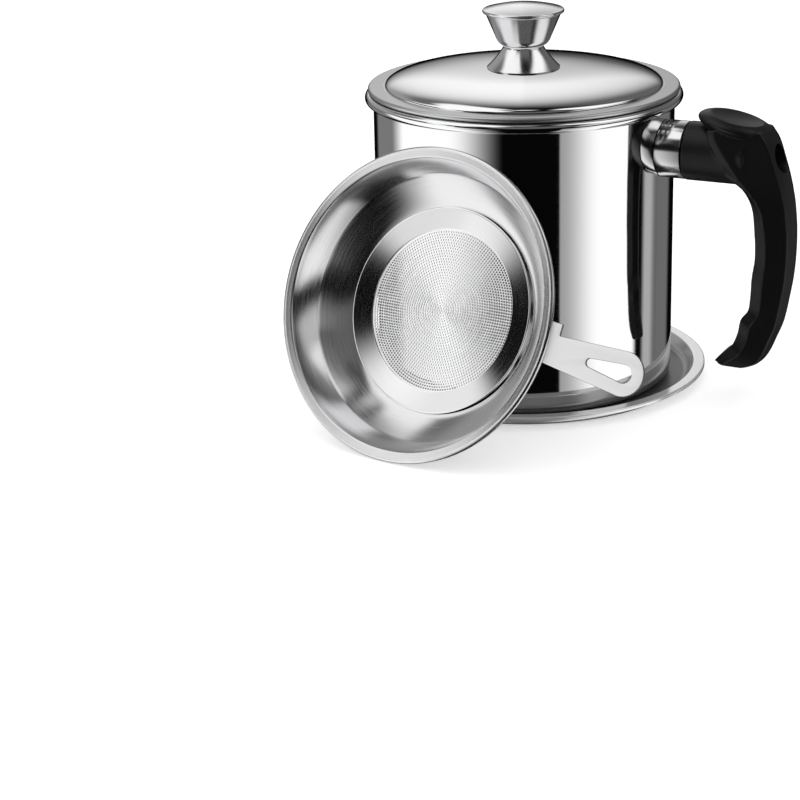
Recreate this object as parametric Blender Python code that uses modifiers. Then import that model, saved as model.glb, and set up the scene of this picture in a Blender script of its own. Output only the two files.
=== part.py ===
"""Bacon grease container: a drip tray, a lidded steel pot with a moulded side
handle, and a fine strainer that leans on the pot. Metres, +Z up. The origin is
on the pot's axis at the tray's underside, and the handle points along +X."""

import bmesh
import bpy
from math import acos, asin, cos, degrees, hypot, pi, radians, sin, sqrt
from mathutils import Matrix, Vector

MM = 0.001

# Shared values
SEAT_GAP = 0.3 * MM
RUNNING_GAP = 0.6 * MM
CUT_OVERRUN = 2.0 * MM
WELD_DISTANCE = 0.00001
LARGE_FACETS = 40
SMALL_FACETS = 24
FASTENER_FACETS = 16
ARC_STEPS = 4

# Drip tray
TRAY_FLOOR_MARGIN = 7.0 * MM
TRAY_RIM_WIDTH = 7.6 * MM
TRAY_FLANGE_WIDTH = 4.6 * MM
TRAY_HEIGHT = 5.9 * MM
TRAY_SHEET = 0.8 * MM
TRAY_EDGE_DROP = 1.5 * MM
TRAY_EDGE_ROUND = 1.0 * MM

# Pot
POT_RADIUS = 62.5 * MM
POT_SHEET = 0.8 * MM
POT_HEIGHT = 122.1 * MM
POT_FOOT_ROUND = 4.0 * MM
POT_BEAD_STAND = 3.5 * MM

# Lid
LID_SHEET = 0.8 * MM
LID_OVERHANG = 2.2 * MM
LID_EDGE_TUBE = 1.05 * MM
LID_FLANGE_WIDTH = 7.0 * MM
DOME_RISE = 5.8 * MM
DOME_FLATNESS = 4.0
DOME_STEPS = 7
SKIRT_DEPTH = 9.5 * MM
SKIRT_SHEET = 0.8 * MM
SKIRT_FLANGE_WIDTH = 3.6 * MM

# Knob
KNOB_SHEET = 0.8 * MM
KNOB_FOOT_RADIUS = 15.1 * MM
KNOB_FOOT_HEIGHT = 9.7 * MM
KNOB_FOOT_EDGE = 0.9 * MM
KNOB_NECK_RADIUS = 8.4 * MM
KNOB_CUP_HEIGHT = 13.0 * MM
KNOB_CUP_RADIUS = 15.6 * MM
KNOB_CUP_WAIST_RISE = 2.6 * MM
KNOB_CUP_WAIST_RADIUS = 10.6 * MM
KNOB_TOP_RADIUS = 16.9 * MM
KNOB_TOP_RISE = 3.0 * MM
KNOB_EDGE_TUBE = 0.75 * MM
KNOB_BUSH_RADIUS = 4.6 * MM
KNOB_BUSH_FLANGE = 6.8 * MM
KNOB_BUSH_FLANGE_HEIGHT = 2.4 * MM

# Screws
SCREW_RADIUS = 2.4 * MM
SCREW_CLEARANCE = 0.4 * MM
SCREW_HEAD_RADIUS = 4.8 * MM
SCREW_HEAD_HEIGHT = 2.8 * MM
SCREW_DRIVE_WIDTH = 1.2 * MM
SCREW_DRIVE_LENGTH = 5.4 * MM
SCREW_DRIVE_DEPTH = 1.4 * MM
WASHER_RADIUS = 5.3 * MM
WASHER_HEIGHT = 1.0 * MM
WASHER_SPLIT = 1.2 * MM
KNOB_SCREW_ENGAGEMENT = 9.0 * MM

# Handle, its lengths outwards from the pot's wall
HANDLE_BEAD_GAP = 3.7 * MM
FERRULE_RADIUS = 11.8 * MM
FERRULE_SHEET = 0.8 * MM
FERRULE_LENGTH = 9.9 * MM
BOSS_RADIUS = 8.5 * MM
BOSS_FLANGE_LENGTH = 3.5 * MM
BOSS_NECK_RADIUS = 4.8 * MM
BOSS_NECK_LENGTH = 8.5 * MM
SPIGOT_LENGTH = 6.0 * MM
BARREL_RADIUS = 12.0 * MM
BARREL_LENGTH = 36.5 * MM
COUNTERBORE_RADIUS = 5.8 * MM
COUNTERBORE_FLOOR_LENGTH = 38.0 * MM
GRIP_LENGTH = 55.8 * MM
GRIP_INNER_LENGTH = 23.5 * MM
GRIP_TOP_RISE = 13.2 * MM
GRIP_TIP_HEIGHT = 14.6 * MM
GRIP_HALF_WIDTH = 12.5 * MM
PAD_HALF_LENGTH = 15.6 * MM
PAD_HALF_WIDTH = 13.0 * MM
PAD_HALF_THICKNESS = 4.2 * MM
PAD_CENTRE_LENGTH = 29.6 * MM
PAD_CENTRE_RISE = 12.4 * MM
PAD_SLOPE_DEG = 12.5
PAD_DISH_DEPTH = 2.6 * MM
PAD_DISH_RADIUS = 46.0 * MM

# Each row is one cut through the grip, from the thumb pad down to the tip. The
# first pair places its inner edge and the second its outer edge, as shares of
# the grip's reach and height. The last value is its share of the half width.
GRIP_CUT_SHARES = (
    (-0.070, 0.985, 0.615, 0.982, 0.92),
    (-0.060, 0.948, 0.719, 0.933, 0.99),
    (0.080, 0.871, 0.796, 0.866, 0.98),
    (0.215, 0.795, 0.870, 0.795, 0.94),
    (0.355, 0.737, 0.923, 0.733, 0.90),
    (0.465, 0.670, 0.963, 0.670, 0.86),
    (0.505, 0.570, 0.997, 0.570, 0.83),
    (0.520, 0.470, 0.997, 0.470, 0.82),
    (0.485, 0.384, 0.975, 0.384, 0.80),
    (0.475, 0.303, 0.935, 0.303, 0.79),
    (0.450, 0.245, 0.900, 0.241, 0.78),
    (0.355, 0.203, 0.860, 0.188, 0.77),
    (0.320, 0.145, 0.790, 0.131, 0.76),
    (0.245, 0.088, 0.700, 0.064, 0.74),
    (0.125, 0.054, 0.585, 0.021, 0.70),
    (0.020, 0.016, 0.425, 0.000, 0.60),
)
# One cut's outline: share of the depth from inner to outer, share of the width.
GRIP_SECTION_SHARES = (
    (0.00, 0.40), (0.12, 0.74), (0.30, 0.95), (0.52, 1.00),
    (0.78, 0.96), (0.92, 0.78), (1.00, 0.46),
)

# Strainer, made level about its own flange before it is leaned on the pot
STRAINER_RADIUS = 62.5 * MM
STRAINER_SHEET = 0.7 * MM
STRAINER_EDGE_TUBE = 1.1 * MM
STRAINER_FLANGE_WIDTH = 4.5 * MM
STRAINER_UPPER_TAPER = 4.4 * MM
STRAINER_LOWER_TAPER = 11.3 * MM
STRAINER_DEPTH = 23.5 * MM
STRAINER_LEDGE_WIDTH = 6.5 * MM
STRAINER_STEP_DROP = 12.5 * MM
FILTER_SHEET = 0.5 * MM
RING_SHEET = 0.8 * MM
RING_RISE = 1.5 * MM
RING_WIDTH = 9.7 * MM
FILTER_HOLE_RADIUS = 1.3 * MM
FILTER_HOLE_PITCH = 5.6 * MM
FILTER_HOLE_SIDES = 6
TAB_SHEET = 1.2 * MM
TAB_LENGTH = 41.5 * MM
TAB_ROOT_LAP = 3.1 * MM
TAB_ROOT_WIDTH = 11.0 * MM
TAB_END_RADIUS = 8.5 * MM
TAB_BEARING_DEG = -6.5
TAB_SLOT_SMALL_RADIUS = 1.7 * MM
TAB_SLOT_LARGE_RADIUS = 3.5 * MM
TAB_SLOT_SPAN = 14.7 * MM
TAB_EAR_WIDTH = 5.0 * MM
TAB_EAR_LENGTH = 2.7 * MM
STRAINER_LEAN_DEG = 22.0
STRAINER_BEARING_DEG = -92.5
STRAINER_TURN_DEG = -6.5

# Radii and reaches that follow from the pot's and the strainer's radius
TRAY_FLOOR_RADIUS = POT_RADIUS + TRAY_FLOOR_MARGIN
TRAY_RADIUS = TRAY_FLOOR_RADIUS + TRAY_RIM_WIDTH
POT_BEAD_OUTER = POT_RADIUS + POT_BEAD_STAND
LID_RADIUS = POT_RADIUS + LID_OVERHANG
DOME_RADIUS = LID_RADIUS - LID_FLANGE_WIDTH
FERRULE_END_REACH = POT_RADIUS + FERRULE_LENGTH
BOSS_FLANGE_REACH = POT_RADIUS + BOSS_FLANGE_LENGTH
BOSS_NECK_REACH = POT_RADIUS + BOSS_NECK_LENGTH
BARREL_END_REACH = POT_RADIUS + BARREL_LENGTH
COUNTERBORE_FLOOR_REACH = POT_RADIUS + COUNTERBORE_FLOOR_LENGTH
GRIP_REACH = POT_RADIUS + GRIP_LENGTH
GRIP_INNER_REACH = POT_RADIUS + GRIP_INNER_LENGTH
PAD_CENTRE_REACH = POT_RADIUS + PAD_CENTRE_LENGTH
STRAINER_MOUTH_RADIUS = STRAINER_RADIUS - STRAINER_FLANGE_WIDTH
STRAINER_STEP_RADIUS = STRAINER_MOUTH_RADIUS - STRAINER_UPPER_TAPER
STRAINER_BASE_RADIUS = STRAINER_STEP_RADIUS - STRAINER_LOWER_TAPER
RING_HOLE_RADIUS = STRAINER_BASE_RADIUS - RING_WIDTH
TAB_REACH = STRAINER_RADIUS + TAB_LENGTH
TAB_ROOT_REACH = STRAINER_RADIUS - TAB_ROOT_LAP
TAB_EAR_REACH = STRAINER_RADIUS + TAB_EAR_LENGTH

# Heights that follow from the sizes above
POT_BASE_HEIGHT = TRAY_SHEET + SEAT_GAP
POT_BORE = POT_RADIUS - POT_SHEET
POT_BEAD_TUBE = (POT_BEAD_OUTER - POT_BORE) / 2
POT_BEAD_CENTRE = (POT_BEAD_OUTER + POT_BORE) / 2
POT_BEAD_HEIGHT = POT_BASE_HEIGHT + POT_HEIGHT - POT_BEAD_TUBE
LID_EDGE_HEIGHT = POT_BASE_HEIGHT + POT_HEIGHT + SEAT_GAP + LID_EDGE_TUBE
LID_FLANGE_HEIGHT = LID_EDGE_HEIGHT + LID_EDGE_TUBE
DOME_TOP_HEIGHT = LID_FLANGE_HEIGHT + DOME_RISE
SCREW_HOLE_RADIUS = SCREW_RADIUS + SCREW_CLEARANCE
BUSH_HOLE_RADIUS = KNOB_BUSH_RADIUS + SEAT_GAP
KNOB_FOOT_BASE = DOME_TOP_HEIGHT + SEAT_GAP
KNOB_FOOT_TOP = KNOB_FOOT_BASE + KNOB_FOOT_HEIGHT
KNOB_CUP_BASE = KNOB_FOOT_TOP + SEAT_GAP
KNOB_CUP_TOP = KNOB_CUP_BASE + KNOB_CUP_HEIGHT
HANDLE_AXIS_HEIGHT = POT_BEAD_HEIGHT - POT_BEAD_TUBE - HANDLE_BEAD_GAP - FERRULE_RADIUS
GRIP_TOP_HEIGHT = HANDLE_AXIS_HEIGHT + GRIP_TOP_RISE
PAD_CENTRE_HEIGHT = HANDLE_AXIS_HEIGHT + PAD_CENTRE_RISE
FERRULE_BORE = FERRULE_RADIUS - FERRULE_SHEET
BARREL_START_REACH = FERRULE_END_REACH + SEAT_GAP
FILTER_LEVEL = -STRAINER_DEPTH + STRAINER_SHEET + SEAT_GAP
RING_LEVEL = FILTER_LEVEL + FILTER_SHEET + SEAT_GAP

STEEL_POLISHED = ((0.62, 0.62, 0.63), 0.06, 1.0)
STEEL_SATIN = ((0.50, 0.50, 0.51), 0.28, 1.0)
STEEL_PALE = ((0.74, 0.74, 0.74), 0.35, 1.0)
STEEL_ZINC = ((0.55, 0.56, 0.58), 0.30, 1.0)
PHENOLIC = ((0.012, 0.012, 0.013), 0.42, 0.0)


def clear_scene():
    for item in list(bpy.data.objects):
        bpy.data.objects.remove(item, do_unlink=True)


def new_collection(name):
    collection = bpy.data.collections.new(name)
    bpy.context.scene.collection.children.link(collection)
    return collection


def new_material(name, finish):
    colour, roughness, metallic = finish
    material = bpy.data.materials.new(name)
    material.use_nodes = True
    shader = material.node_tree.nodes["Principled BSDF"]
    shader.inputs["Base Color"].default_value = (*colour, 1.0)
    shader.inputs["Roughness"].default_value = roughness
    shader.inputs["Metallic"].default_value = metallic
    return material


def add_part(name, data, finish, parent=None):
    """A named sub-part in the object's collection, with its own material."""
    part = bpy.data.objects.new(name, data)
    PARTS.objects.link(part)
    data.materials.append(new_material(name + "_finish", finish))
    part.parent = parent
    return part


def add_cutter(name, data, parent=None):
    cutter = bpy.data.objects.new(name, data)
    CUTTERS.objects.link(cutter)
    cutter.hide_render = True
    cutter.display_type = "WIRE"
    cutter.parent = parent
    return cutter


def boolean(part, cutter, operation="DIFFERENCE"):
    modifier = part.modifiers.new(cutter.name, "BOOLEAN")
    modifier.operation = operation
    modifier.object = cutter
    return modifier


def arc(centre, radius, start_deg, end_deg, steps=ARC_STEPS):
    """Points of an arc in the profile's plane, as (radius, height) pairs."""
    points = []
    for step in range(steps + 1):
        angle = radians(start_deg + (end_deg - start_deg) * step / steps)
        points.append((centre[0] + radius * cos(angle), centre[1] + radius * sin(angle)))
    return points


def bezier(start, control, end, steps=ARC_STEPS):
    """Points of a curve that leaves start and reaches end towards one control point."""
    points = []
    for step in range(steps + 1):
        t = step / steps
        points.append(tuple(
            (1 - t) ** 2 * a + 2 * t * (1 - t) * b + t ** 2 * c
            for a, b, c in zip(start, control, end)))
    return points


def offset_path(points, distance):
    """The same path moved sideways, to the right of its direction of travel."""
    moved = []
    for index, point in enumerate(points):
        before = Vector(points[max(index - 1, 0)])
        after = Vector(points[min(index + 1, len(points) - 1)])
        along = (after - before).normalized()
        moved.append((point[0] + along.y * distance, point[1] - along.x * distance))
    return moved


def turned_mesh(name, profile, closed):
    """The edges of a turned piece's profile, which a Screw modifier revolves."""
    tidy = [profile[0]]
    for point in profile[1:]:
        if hypot(point[0] - tidy[-1][0], point[1] - tidy[-1][1]) > WELD_DISTANCE:
            tidy.append(point)
    mesh = bpy.data.meshes.new(name)
    edges = [(index, index + 1) for index in range(len(tidy) - 1)]
    if closed:
        edges.append((len(tidy) - 1, 0))
    mesh.from_pydata([(radius, 0.0, height) for radius, height in tidy], edges, [])
    return mesh


def add_screw_modifier(item, facets):
    screw = item.modifiers.new("Turn", "SCREW")
    screw.axis = "Z"
    screw.angle = 2 * pi
    screw.steps = facets
    screw.render_steps = facets
    screw.use_merge_vertices = True
    screw.merge_threshold = WELD_DISTANCE
    screw.use_smooth_shade = True


def turned_part(name, profile, finish, facets=LARGE_FACETS, closed=True, parent=None):
    """A turned sub-part: its profile runs down its outer side, top to bottom."""
    part = add_part(name, turned_mesh(name, profile, closed), finish, parent)
    add_screw_modifier(part, facets)
    return part


def turned_cutter(name, profile, facets=LARGE_FACETS, parent=None):
    cutter = add_cutter(name, turned_mesh(name, profile, False), parent)
    add_screw_modifier(cutter, facets)
    return cutter


def along_handle(item):
    """Lays a piece that was turned about Z along the handle's axis, its top outwards."""
    item.location = (0.0, 0.0, HANDLE_AXIS_HEIGHT)
    item.rotation_euler = (0.0, pi / 2, 0.0)


def solid_profile(steps):
    """A stepped shaft from (radius, low, high) rows listed from the top down."""
    points = [(0.0, steps[0][2])]
    for radius, low, high in steps:
        points += [(radius, high), (radius, low)]
    points.append((0.0, steps[-1][1]))
    return points


# Tray

def make_tray():
    flange_inner = TRAY_RADIUS - TRAY_FLANGE_WIDTH
    round_centre = (TRAY_RADIUS - TRAY_EDGE_ROUND, TRAY_HEIGHT - TRAY_EDGE_ROUND)
    top = bezier((TRAY_FLOOR_RADIUS, TRAY_SHEET), (flange_inner - TRAY_SHEET, TRAY_SHEET),
                 (flange_inner, TRAY_HEIGHT))
    edge = arc(round_centre, TRAY_EDGE_ROUND, 90, 0, 3)
    lip = [(TRAY_RADIUS, TRAY_HEIGHT - TRAY_EDGE_DROP),
           (TRAY_RADIUS - TRAY_SHEET, TRAY_HEIGHT - TRAY_EDGE_DROP),
           (TRAY_RADIUS - TRAY_SHEET, TRAY_HEIGHT - TRAY_SHEET)]
    under = [(flange_inner + TRAY_SHEET, TRAY_HEIGHT - TRAY_SHEET)]
    under += bezier((flange_inner + TRAY_SHEET, TRAY_HEIGHT - TRAY_SHEET),
                    (flange_inner, 0.0), (TRAY_FLOOR_RADIUS, 0.0))
    profile = [(0.0, TRAY_SHEET)] + top + edge + lip + under + [(0.0, 0.0)]
    turned_part("drip_tray", profile, STEEL_PALE, closed=False)


# Pot

def make_pot():
    floor_top = POT_BASE_HEIGHT + POT_SHEET
    inner_round = POT_FOOT_ROUND - POT_SHEET
    join_deg = degrees(acos((POT_RADIUS - POT_BEAD_CENTRE) / POT_BEAD_TUBE))
    profile = [(0.0, floor_top)]
    profile += arc((POT_BORE - inner_round, floor_top + inner_round), inner_round, -90, 0, 3)
    profile += arc((POT_BEAD_CENTRE, POT_BEAD_HEIGHT), POT_BEAD_TUBE, 180, -join_deg, 8)
    profile += arc((POT_RADIUS - POT_FOOT_ROUND, POT_BASE_HEIGHT + POT_FOOT_ROUND),
                   POT_FOOT_ROUND, 0, -90, 4)
    profile.append((0.0, POT_BASE_HEIGHT))
    turned_part("pot_shell", profile, STEEL_POLISHED, closed=False)


# Lid

def dome_height(radius, edge_radius, edge_height):
    """A low dome that stays flat in the middle and falls steeply near its edge."""
    share = min(radius / edge_radius, 1.0)
    return edge_height + DOME_RISE * sqrt(1 - share ** DOME_FLATNESS)


def dome_path(edge_radius, edge_height):
    """From the knob's hole out to the dome's edge, with points closer at the edge."""
    points = []
    for step in range(DOME_STEPS + 1):
        share = sin(step / DOME_STEPS * pi / 2)
        radius = SCREW_HOLE_RADIUS + (edge_radius - SCREW_HOLE_RADIUS) * share
        points.append((radius, dome_height(radius, edge_radius, edge_height)))
    return points


def make_lid():
    edge_centre = (LID_RADIUS - LID_EDGE_TUBE, LID_EDGE_HEIGHT)
    under_flange = LID_FLANGE_HEIGHT - LID_SHEET
    tuck_deg = degrees(asin((under_flange - LID_EDGE_HEIGHT) / LID_EDGE_TUBE))
    profile = dome_path(DOME_RADIUS, LID_FLANGE_HEIGHT)
    profile += arc(edge_centre, LID_EDGE_TUBE, 90, -180 - tuck_deg, 6)
    profile += list(reversed(dome_path(DOME_RADIUS - LID_SHEET, under_flange)))
    turned_part("lid_shell", profile, STEEL_POLISHED)

    outer = POT_BORE - RUNNING_GAP
    top = under_flange - SEAT_GAP
    skirt = [(outer, top), (outer, top - SKIRT_DEPTH), (outer - SKIRT_SHEET, top - SKIRT_DEPTH),
             (outer - SKIRT_SHEET, top - SKIRT_SHEET),
             (outer - SKIRT_FLANGE_WIDTH, top - SKIRT_SHEET), (outer - SKIRT_FLANGE_WIDTH, top)]
    turned_part("lid_skirt", skirt, STEEL_SATIN)


def make_knob():
    neck = KNOB_NECK_RADIUS
    base = KNOB_FOOT_BASE
    flare = bezier((neck, KNOB_FOOT_TOP),
                   ((neck + KNOB_FOOT_RADIUS) / 2 - KNOB_SHEET, base + KNOB_FOOT_HEIGHT / 2),
                   (KNOB_FOOT_RADIUS, base + KNOB_FOOT_EDGE))
    inside = offset_path(flare, KNOB_SHEET)
    inside[0] = (neck - KNOB_SHEET, KNOB_FOOT_TOP - KNOB_SHEET)
    inside[-1] = (KNOB_FOOT_RADIUS - KNOB_SHEET, base + KNOB_FOOT_EDGE)
    foot = flare + [(KNOB_FOOT_RADIUS, base), (KNOB_FOOT_RADIUS - KNOB_SHEET, base)]
    foot += list(reversed(inside))
    foot += [(BUSH_HOLE_RADIUS, KNOB_FOOT_TOP - KNOB_SHEET), (BUSH_HOLE_RADIUS, KNOB_FOOT_TOP)]
    turned_part("knob_foot", foot, STEEL_POLISHED, SMALL_FACETS)

    low, high = KNOB_CUP_BASE, KNOB_CUP_TOP
    wall = [(KNOB_CUP_RADIUS, high)]
    wall += bezier((KNOB_CUP_WAIST_RADIUS, low + KNOB_CUP_WAIST_RISE),
                   (neck, low + KNOB_SHEET), (neck - KNOB_SHEET / 2, low), 3)
    inside = offset_path(wall, KNOB_SHEET)
    inside[0] = (KNOB_CUP_RADIUS - KNOB_SHEET, high)
    inside[-1] = (neck - KNOB_SHEET, low + KNOB_SHEET)
    cup = wall + [(BUSH_HOLE_RADIUS, low), (BUSH_HOLE_RADIUS, low + KNOB_SHEET)]
    cup += list(reversed(inside))
    turned_part("knob_cup", cup, STEEL_POLISHED, SMALL_FACETS)

    edge = (KNOB_TOP_RADIUS - KNOB_EDGE_TUBE, KNOB_CUP_TOP + SEAT_GAP + KNOB_EDGE_TUBE)
    crown = KNOB_TOP_RISE
    shoulder = (edge[0], edge[1] + KNOB_EDGE_TUBE)
    cap = bezier((0.0, shoulder[1] + crown - KNOB_EDGE_TUBE),
                 (edge[0] / 2, shoulder[1] + crown - KNOB_EDGE_TUBE), shoulder)
    under_shoulder = (edge[0] - KNOB_EDGE_TUBE, edge[1])
    under = bezier(under_shoulder, (edge[0] / 2, cap[0][1] - KNOB_SHEET),
                   (0.0, cap[0][1] - KNOB_SHEET))
    profile = cap + arc(edge, KNOB_EDGE_TUBE, 90, -180, 5) + under
    turned_part("knob_top", profile, STEEL_POLISHED, SMALL_FACETS, closed=False)

    flange_low = KNOB_CUP_BASE + KNOB_SHEET + SEAT_GAP
    flange_high = flange_low + KNOB_BUSH_FLANGE_HEIGHT
    thread_top = base + KNOB_SCREW_ENGAGEMENT + RUNNING_GAP
    bush = [(0.0, flange_high), (KNOB_BUSH_FLANGE, flange_high), (KNOB_BUSH_FLANGE, flange_low),
            (KNOB_BUSH_RADIUS, flange_low), (KNOB_BUSH_RADIUS, base),
            (SCREW_HOLE_RADIUS, base), (SCREW_HOLE_RADIUS, thread_top), (0.0, thread_top)]
    turned_part("knob_bush", bush, STEEL_ZINC, FASTENER_FACETS, closed=False)


def split_washer(name, low, finish):
    """A lock washer: a flat ring whose gap opens it to one side."""
    ring = [(WASHER_RADIUS, low + WASHER_HEIGHT), (WASHER_RADIUS, low),
            (SCREW_HOLE_RADIUS, low), (SCREW_HOLE_RADIUS, low + WASHER_HEIGHT)]
    washer = turned_part(name, ring, finish, FASTENER_FACETS)
    gap = box_mesh(name + "_gap", (WASHER_RADIUS * 2, WASHER_SPLIT, WASHER_HEIGHT * 3),
                   (WASHER_RADIUS, 0.0, low + WASHER_HEIGHT / 2))
    cutter = add_cutter(name + "_gap", gap)
    boolean(washer, cutter)
    return washer, cutter


def box_mesh(name, size, centre):
    builder = bmesh.new()
    place = Matrix.Translation(centre) @ Matrix.Diagonal((*size, 1.0))
    bmesh.ops.create_cube(builder, size=1.0, matrix=place)
    mesh = bpy.data.meshes.new(name)
    builder.to_mesh(mesh)
    builder.free()
    return mesh


def driven_screw(name, head_outer, head_inner, shank_end, finish):
    """A screw along Z whose slotted head lies between head_outer and head_inner."""
    direction = 1 if head_outer > head_inner else -1
    chamfer = SCREW_DRIVE_WIDTH / 2
    side = [(0.0, head_outer), (SCREW_HEAD_RADIUS - chamfer, head_outer),
            (SCREW_HEAD_RADIUS, head_outer - direction * chamfer),
            (SCREW_HEAD_RADIUS, head_inner), (SCREW_RADIUS, head_inner),
            (SCREW_RADIUS, shank_end + direction * chamfer),
            (SCREW_RADIUS - chamfer, shank_end), (0.0, shank_end)]
    profile = side if direction > 0 else list(reversed(side))
    screw = turned_part(name, profile, finish, FASTENER_FACETS, closed=False)
    cutters = []
    for index, size in enumerate(((SCREW_DRIVE_LENGTH, SCREW_DRIVE_WIDTH),
                                  (SCREW_DRIVE_WIDTH, SCREW_DRIVE_LENGTH))):
        slot = box_mesh(f"{name}_drive_{index}", (*size, SCREW_DRIVE_DEPTH * 2),
                        (0.0, 0.0, head_outer))
        cutter = add_cutter(f"{name}_drive_{index}", slot)
        boolean(screw, cutter)
        cutters.append(cutter)
    return screw, cutters


def make_knob_fastening():
    washer_top = DOME_TOP_HEIGHT - LID_SHEET - SEAT_GAP
    washer_low = washer_top - WASHER_HEIGHT
    split_washer("knob_washer", washer_low, STEEL_ZINC)
    head_inner = washer_low - SEAT_GAP
    driven_screw("knob_screw", head_inner - SCREW_HEAD_HEIGHT, head_inner,
                 KNOB_FOOT_BASE + KNOB_SCREW_ENGAGEMENT, STEEL_ZINC)


# Handle

def wall_saddle(name):
    """The pot's wall and a seat gap, which trims what is welded against it."""
    radius = POT_RADIUS + SEAT_GAP
    low = POT_BASE_HEIGHT
    return turned_cutter(name, solid_profile([(radius, low, low + POT_HEIGHT)]), LARGE_FACETS * 2)


def make_handle_mounting():
    saddle = wall_saddle("wall_saddle")
    start = POT_RADIUS - POT_SHEET * 4
    sleeve = [(FERRULE_RADIUS, FERRULE_END_REACH), (FERRULE_RADIUS, start),
              (FERRULE_BORE, start), (FERRULE_BORE, FERRULE_END_REACH)]
    ferrule = turned_part("handle_ferrule", sleeve, STEEL_POLISHED, FASTENER_FACETS * 2)
    along_handle(ferrule)
    boolean(ferrule, saddle)

    thread_end = BOSS_FLANGE_REACH - SCREW_RADIUS
    profile = [(SCREW_HOLE_RADIUS, BOSS_NECK_REACH), (BOSS_NECK_RADIUS, BOSS_NECK_REACH),
               (BOSS_NECK_RADIUS, BOSS_FLANGE_REACH), (BOSS_RADIUS, BOSS_FLANGE_REACH),
               (BOSS_RADIUS, start), (0.0, start)]
    profile = [(0.0, thread_end), (SCREW_HOLE_RADIUS, thread_end)] + profile
    boss = turned_part("handle_boss", profile, STEEL_ZINC, FASTENER_FACETS, closed=False)
    along_handle(boss)
    boolean(boss, saddle)


def grip_point(share_x, share_z):
    """A point of the grip's side outline, from shares of its reach and height."""
    return Vector((GRIP_INNER_REACH + (GRIP_REACH - GRIP_INNER_REACH) * share_x, 0.0,
                   GRIP_TIP_HEIGHT + (GRIP_TOP_HEIGHT - GRIP_TIP_HEIGHT) * share_z))


def grip_mesh(name):
    """The grip's bent body: rounded cuts joined one to the next, then capped."""
    builder = bmesh.new()
    rings = []
    for inner_x, inner_z, outer_x, outer_z, width in GRIP_CUT_SHARES:
        inner = grip_point(inner_x, inner_z)
        outer = grip_point(outer_x, outer_z)
        half = GRIP_HALF_WIDTH * width
        near = [inner.lerp(outer, depth) + Vector((0.0, -half * side, 0.0))
                for depth, side in GRIP_SECTION_SHARES]
        far = [inner.lerp(outer, depth) + Vector((0.0, half * side, 0.0))
               for depth, side in reversed(GRIP_SECTION_SHARES)]
        rings.append([builder.verts.new(point) for point in near + far])
    for upper, lower in zip(rings, rings[1:]):
        count = len(upper)
        for index in range(count):
            following = (index + 1) % count
            builder.faces.new((upper[index], upper[following], lower[following], lower[index]))
    builder.faces.new(rings[0])
    builder.faces.new(list(reversed(rings[-1])))
    bmesh.ops.recalc_face_normals(builder, faces=builder.faces)
    mesh = bpy.data.meshes.new(name)
    builder.to_mesh(mesh)
    builder.free()
    return mesh


def sphere_mesh(name, segments, rings, radius):
    builder = bmesh.new()
    bmesh.ops.create_uvsphere(builder, u_segments=segments, v_segments=rings, radius=radius)
    mesh = bpy.data.meshes.new(name)
    builder.to_mesh(mesh)
    builder.free()
    return mesh


def make_grip():
    grip = add_part("handle_grip", grip_mesh("handle_grip"), PHENOLIC)
    spigot_radius = FERRULE_BORE - SEAT_GAP
    spigot_start = FERRULE_END_REACH - SPIGOT_LENGTH
    barrel = turned_cutter("grip_barrel", solid_profile([
        (BARREL_RADIUS, BARREL_START_REACH, BARREL_END_REACH),
        (spigot_radius, spigot_start, BARREL_START_REACH)]), FASTENER_FACETS * 2)
    along_handle(barrel)
    boolean(grip, barrel, "UNION")

    slope = Matrix.Rotation(radians(PAD_SLOPE_DEG), 4, "Y")
    centre = Matrix.Translation((PAD_CENTRE_REACH, 0.0, PAD_CENTRE_HEIGHT))
    stretch = Matrix.Diagonal((PAD_HALF_LENGTH, PAD_HALF_WIDTH, PAD_HALF_THICKNESS, 1.0))
    pad_mesh = sphere_mesh("thumb_pad", SMALL_FACETS - 4, 10, 1.0)
    pad_mesh.transform(centre @ slope @ stretch)
    boolean(grip, add_cutter("thumb_pad", pad_mesh), "UNION")

    dish_mesh = sphere_mesh("thumb_dish", LARGE_FACETS + 8, LARGE_FACETS // 2 + 4, PAD_DISH_RADIUS)
    lift = PAD_HALF_THICKNESS - PAD_DISH_DEPTH + PAD_DISH_RADIUS
    dish_mesh.transform(centre @ slope @ Matrix.Translation((0.0, 0.0, lift)))
    boolean(grip, add_cutter("thumb_dish", dish_mesh))

    bore = turned_cutter("screw_bore", solid_profile([
        (COUNTERBORE_RADIUS, COUNTERBORE_FLOOR_REACH, GRIP_REACH + CUT_OVERRUN),
        (SCREW_HOLE_RADIUS, BOSS_NECK_REACH, COUNTERBORE_FLOOR_REACH),
        (BOSS_NECK_RADIUS + SEAT_GAP, spigot_start - CUT_OVERRUN, BOSS_NECK_REACH + SEAT_GAP)]),
        FASTENER_FACETS)
    along_handle(bore)
    boolean(grip, bore)


def make_handle_fastening():
    low = COUNTERBORE_FLOOR_REACH + SEAT_GAP
    washer, gap = split_washer("handle_washer", low, STEEL_ZINC)
    head_inner = low + WASHER_HEIGHT + SEAT_GAP
    screw, slots = driven_screw("handle_screw", head_inner + SCREW_HEAD_HEIGHT, head_inner,
                                BOSS_FLANGE_REACH - SCREW_RADIUS + SEAT_GAP, STEEL_ZINC)
    for item in [washer, gap, screw, *slots]:
        along_handle(item)


# Strainer

def resting_reach(out, turn):
    """How far from the pot's axis the strainer's frame is when its base just clears the wall."""
    clear = POT_RADIUS + SEAT_GAP
    reach = clear
    for step in range(LARGE_FACETS * 4):
        angle = pi / 2 * step / LARGE_FACETS
        corner = turn @ Vector((STRAINER_BASE_RADIUS * cos(angle),
                                STRAINER_BASE_RADIUS * sin(angle), -STRAINER_DEPTH))
        along = corner.x * out.x + corner.y * out.y
        across = corner.x * out.y - corner.y * out.x
        reach = max(reach, sqrt(max(clear ** 2 - across ** 2, 0.0)) - along)
    return reach


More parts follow.
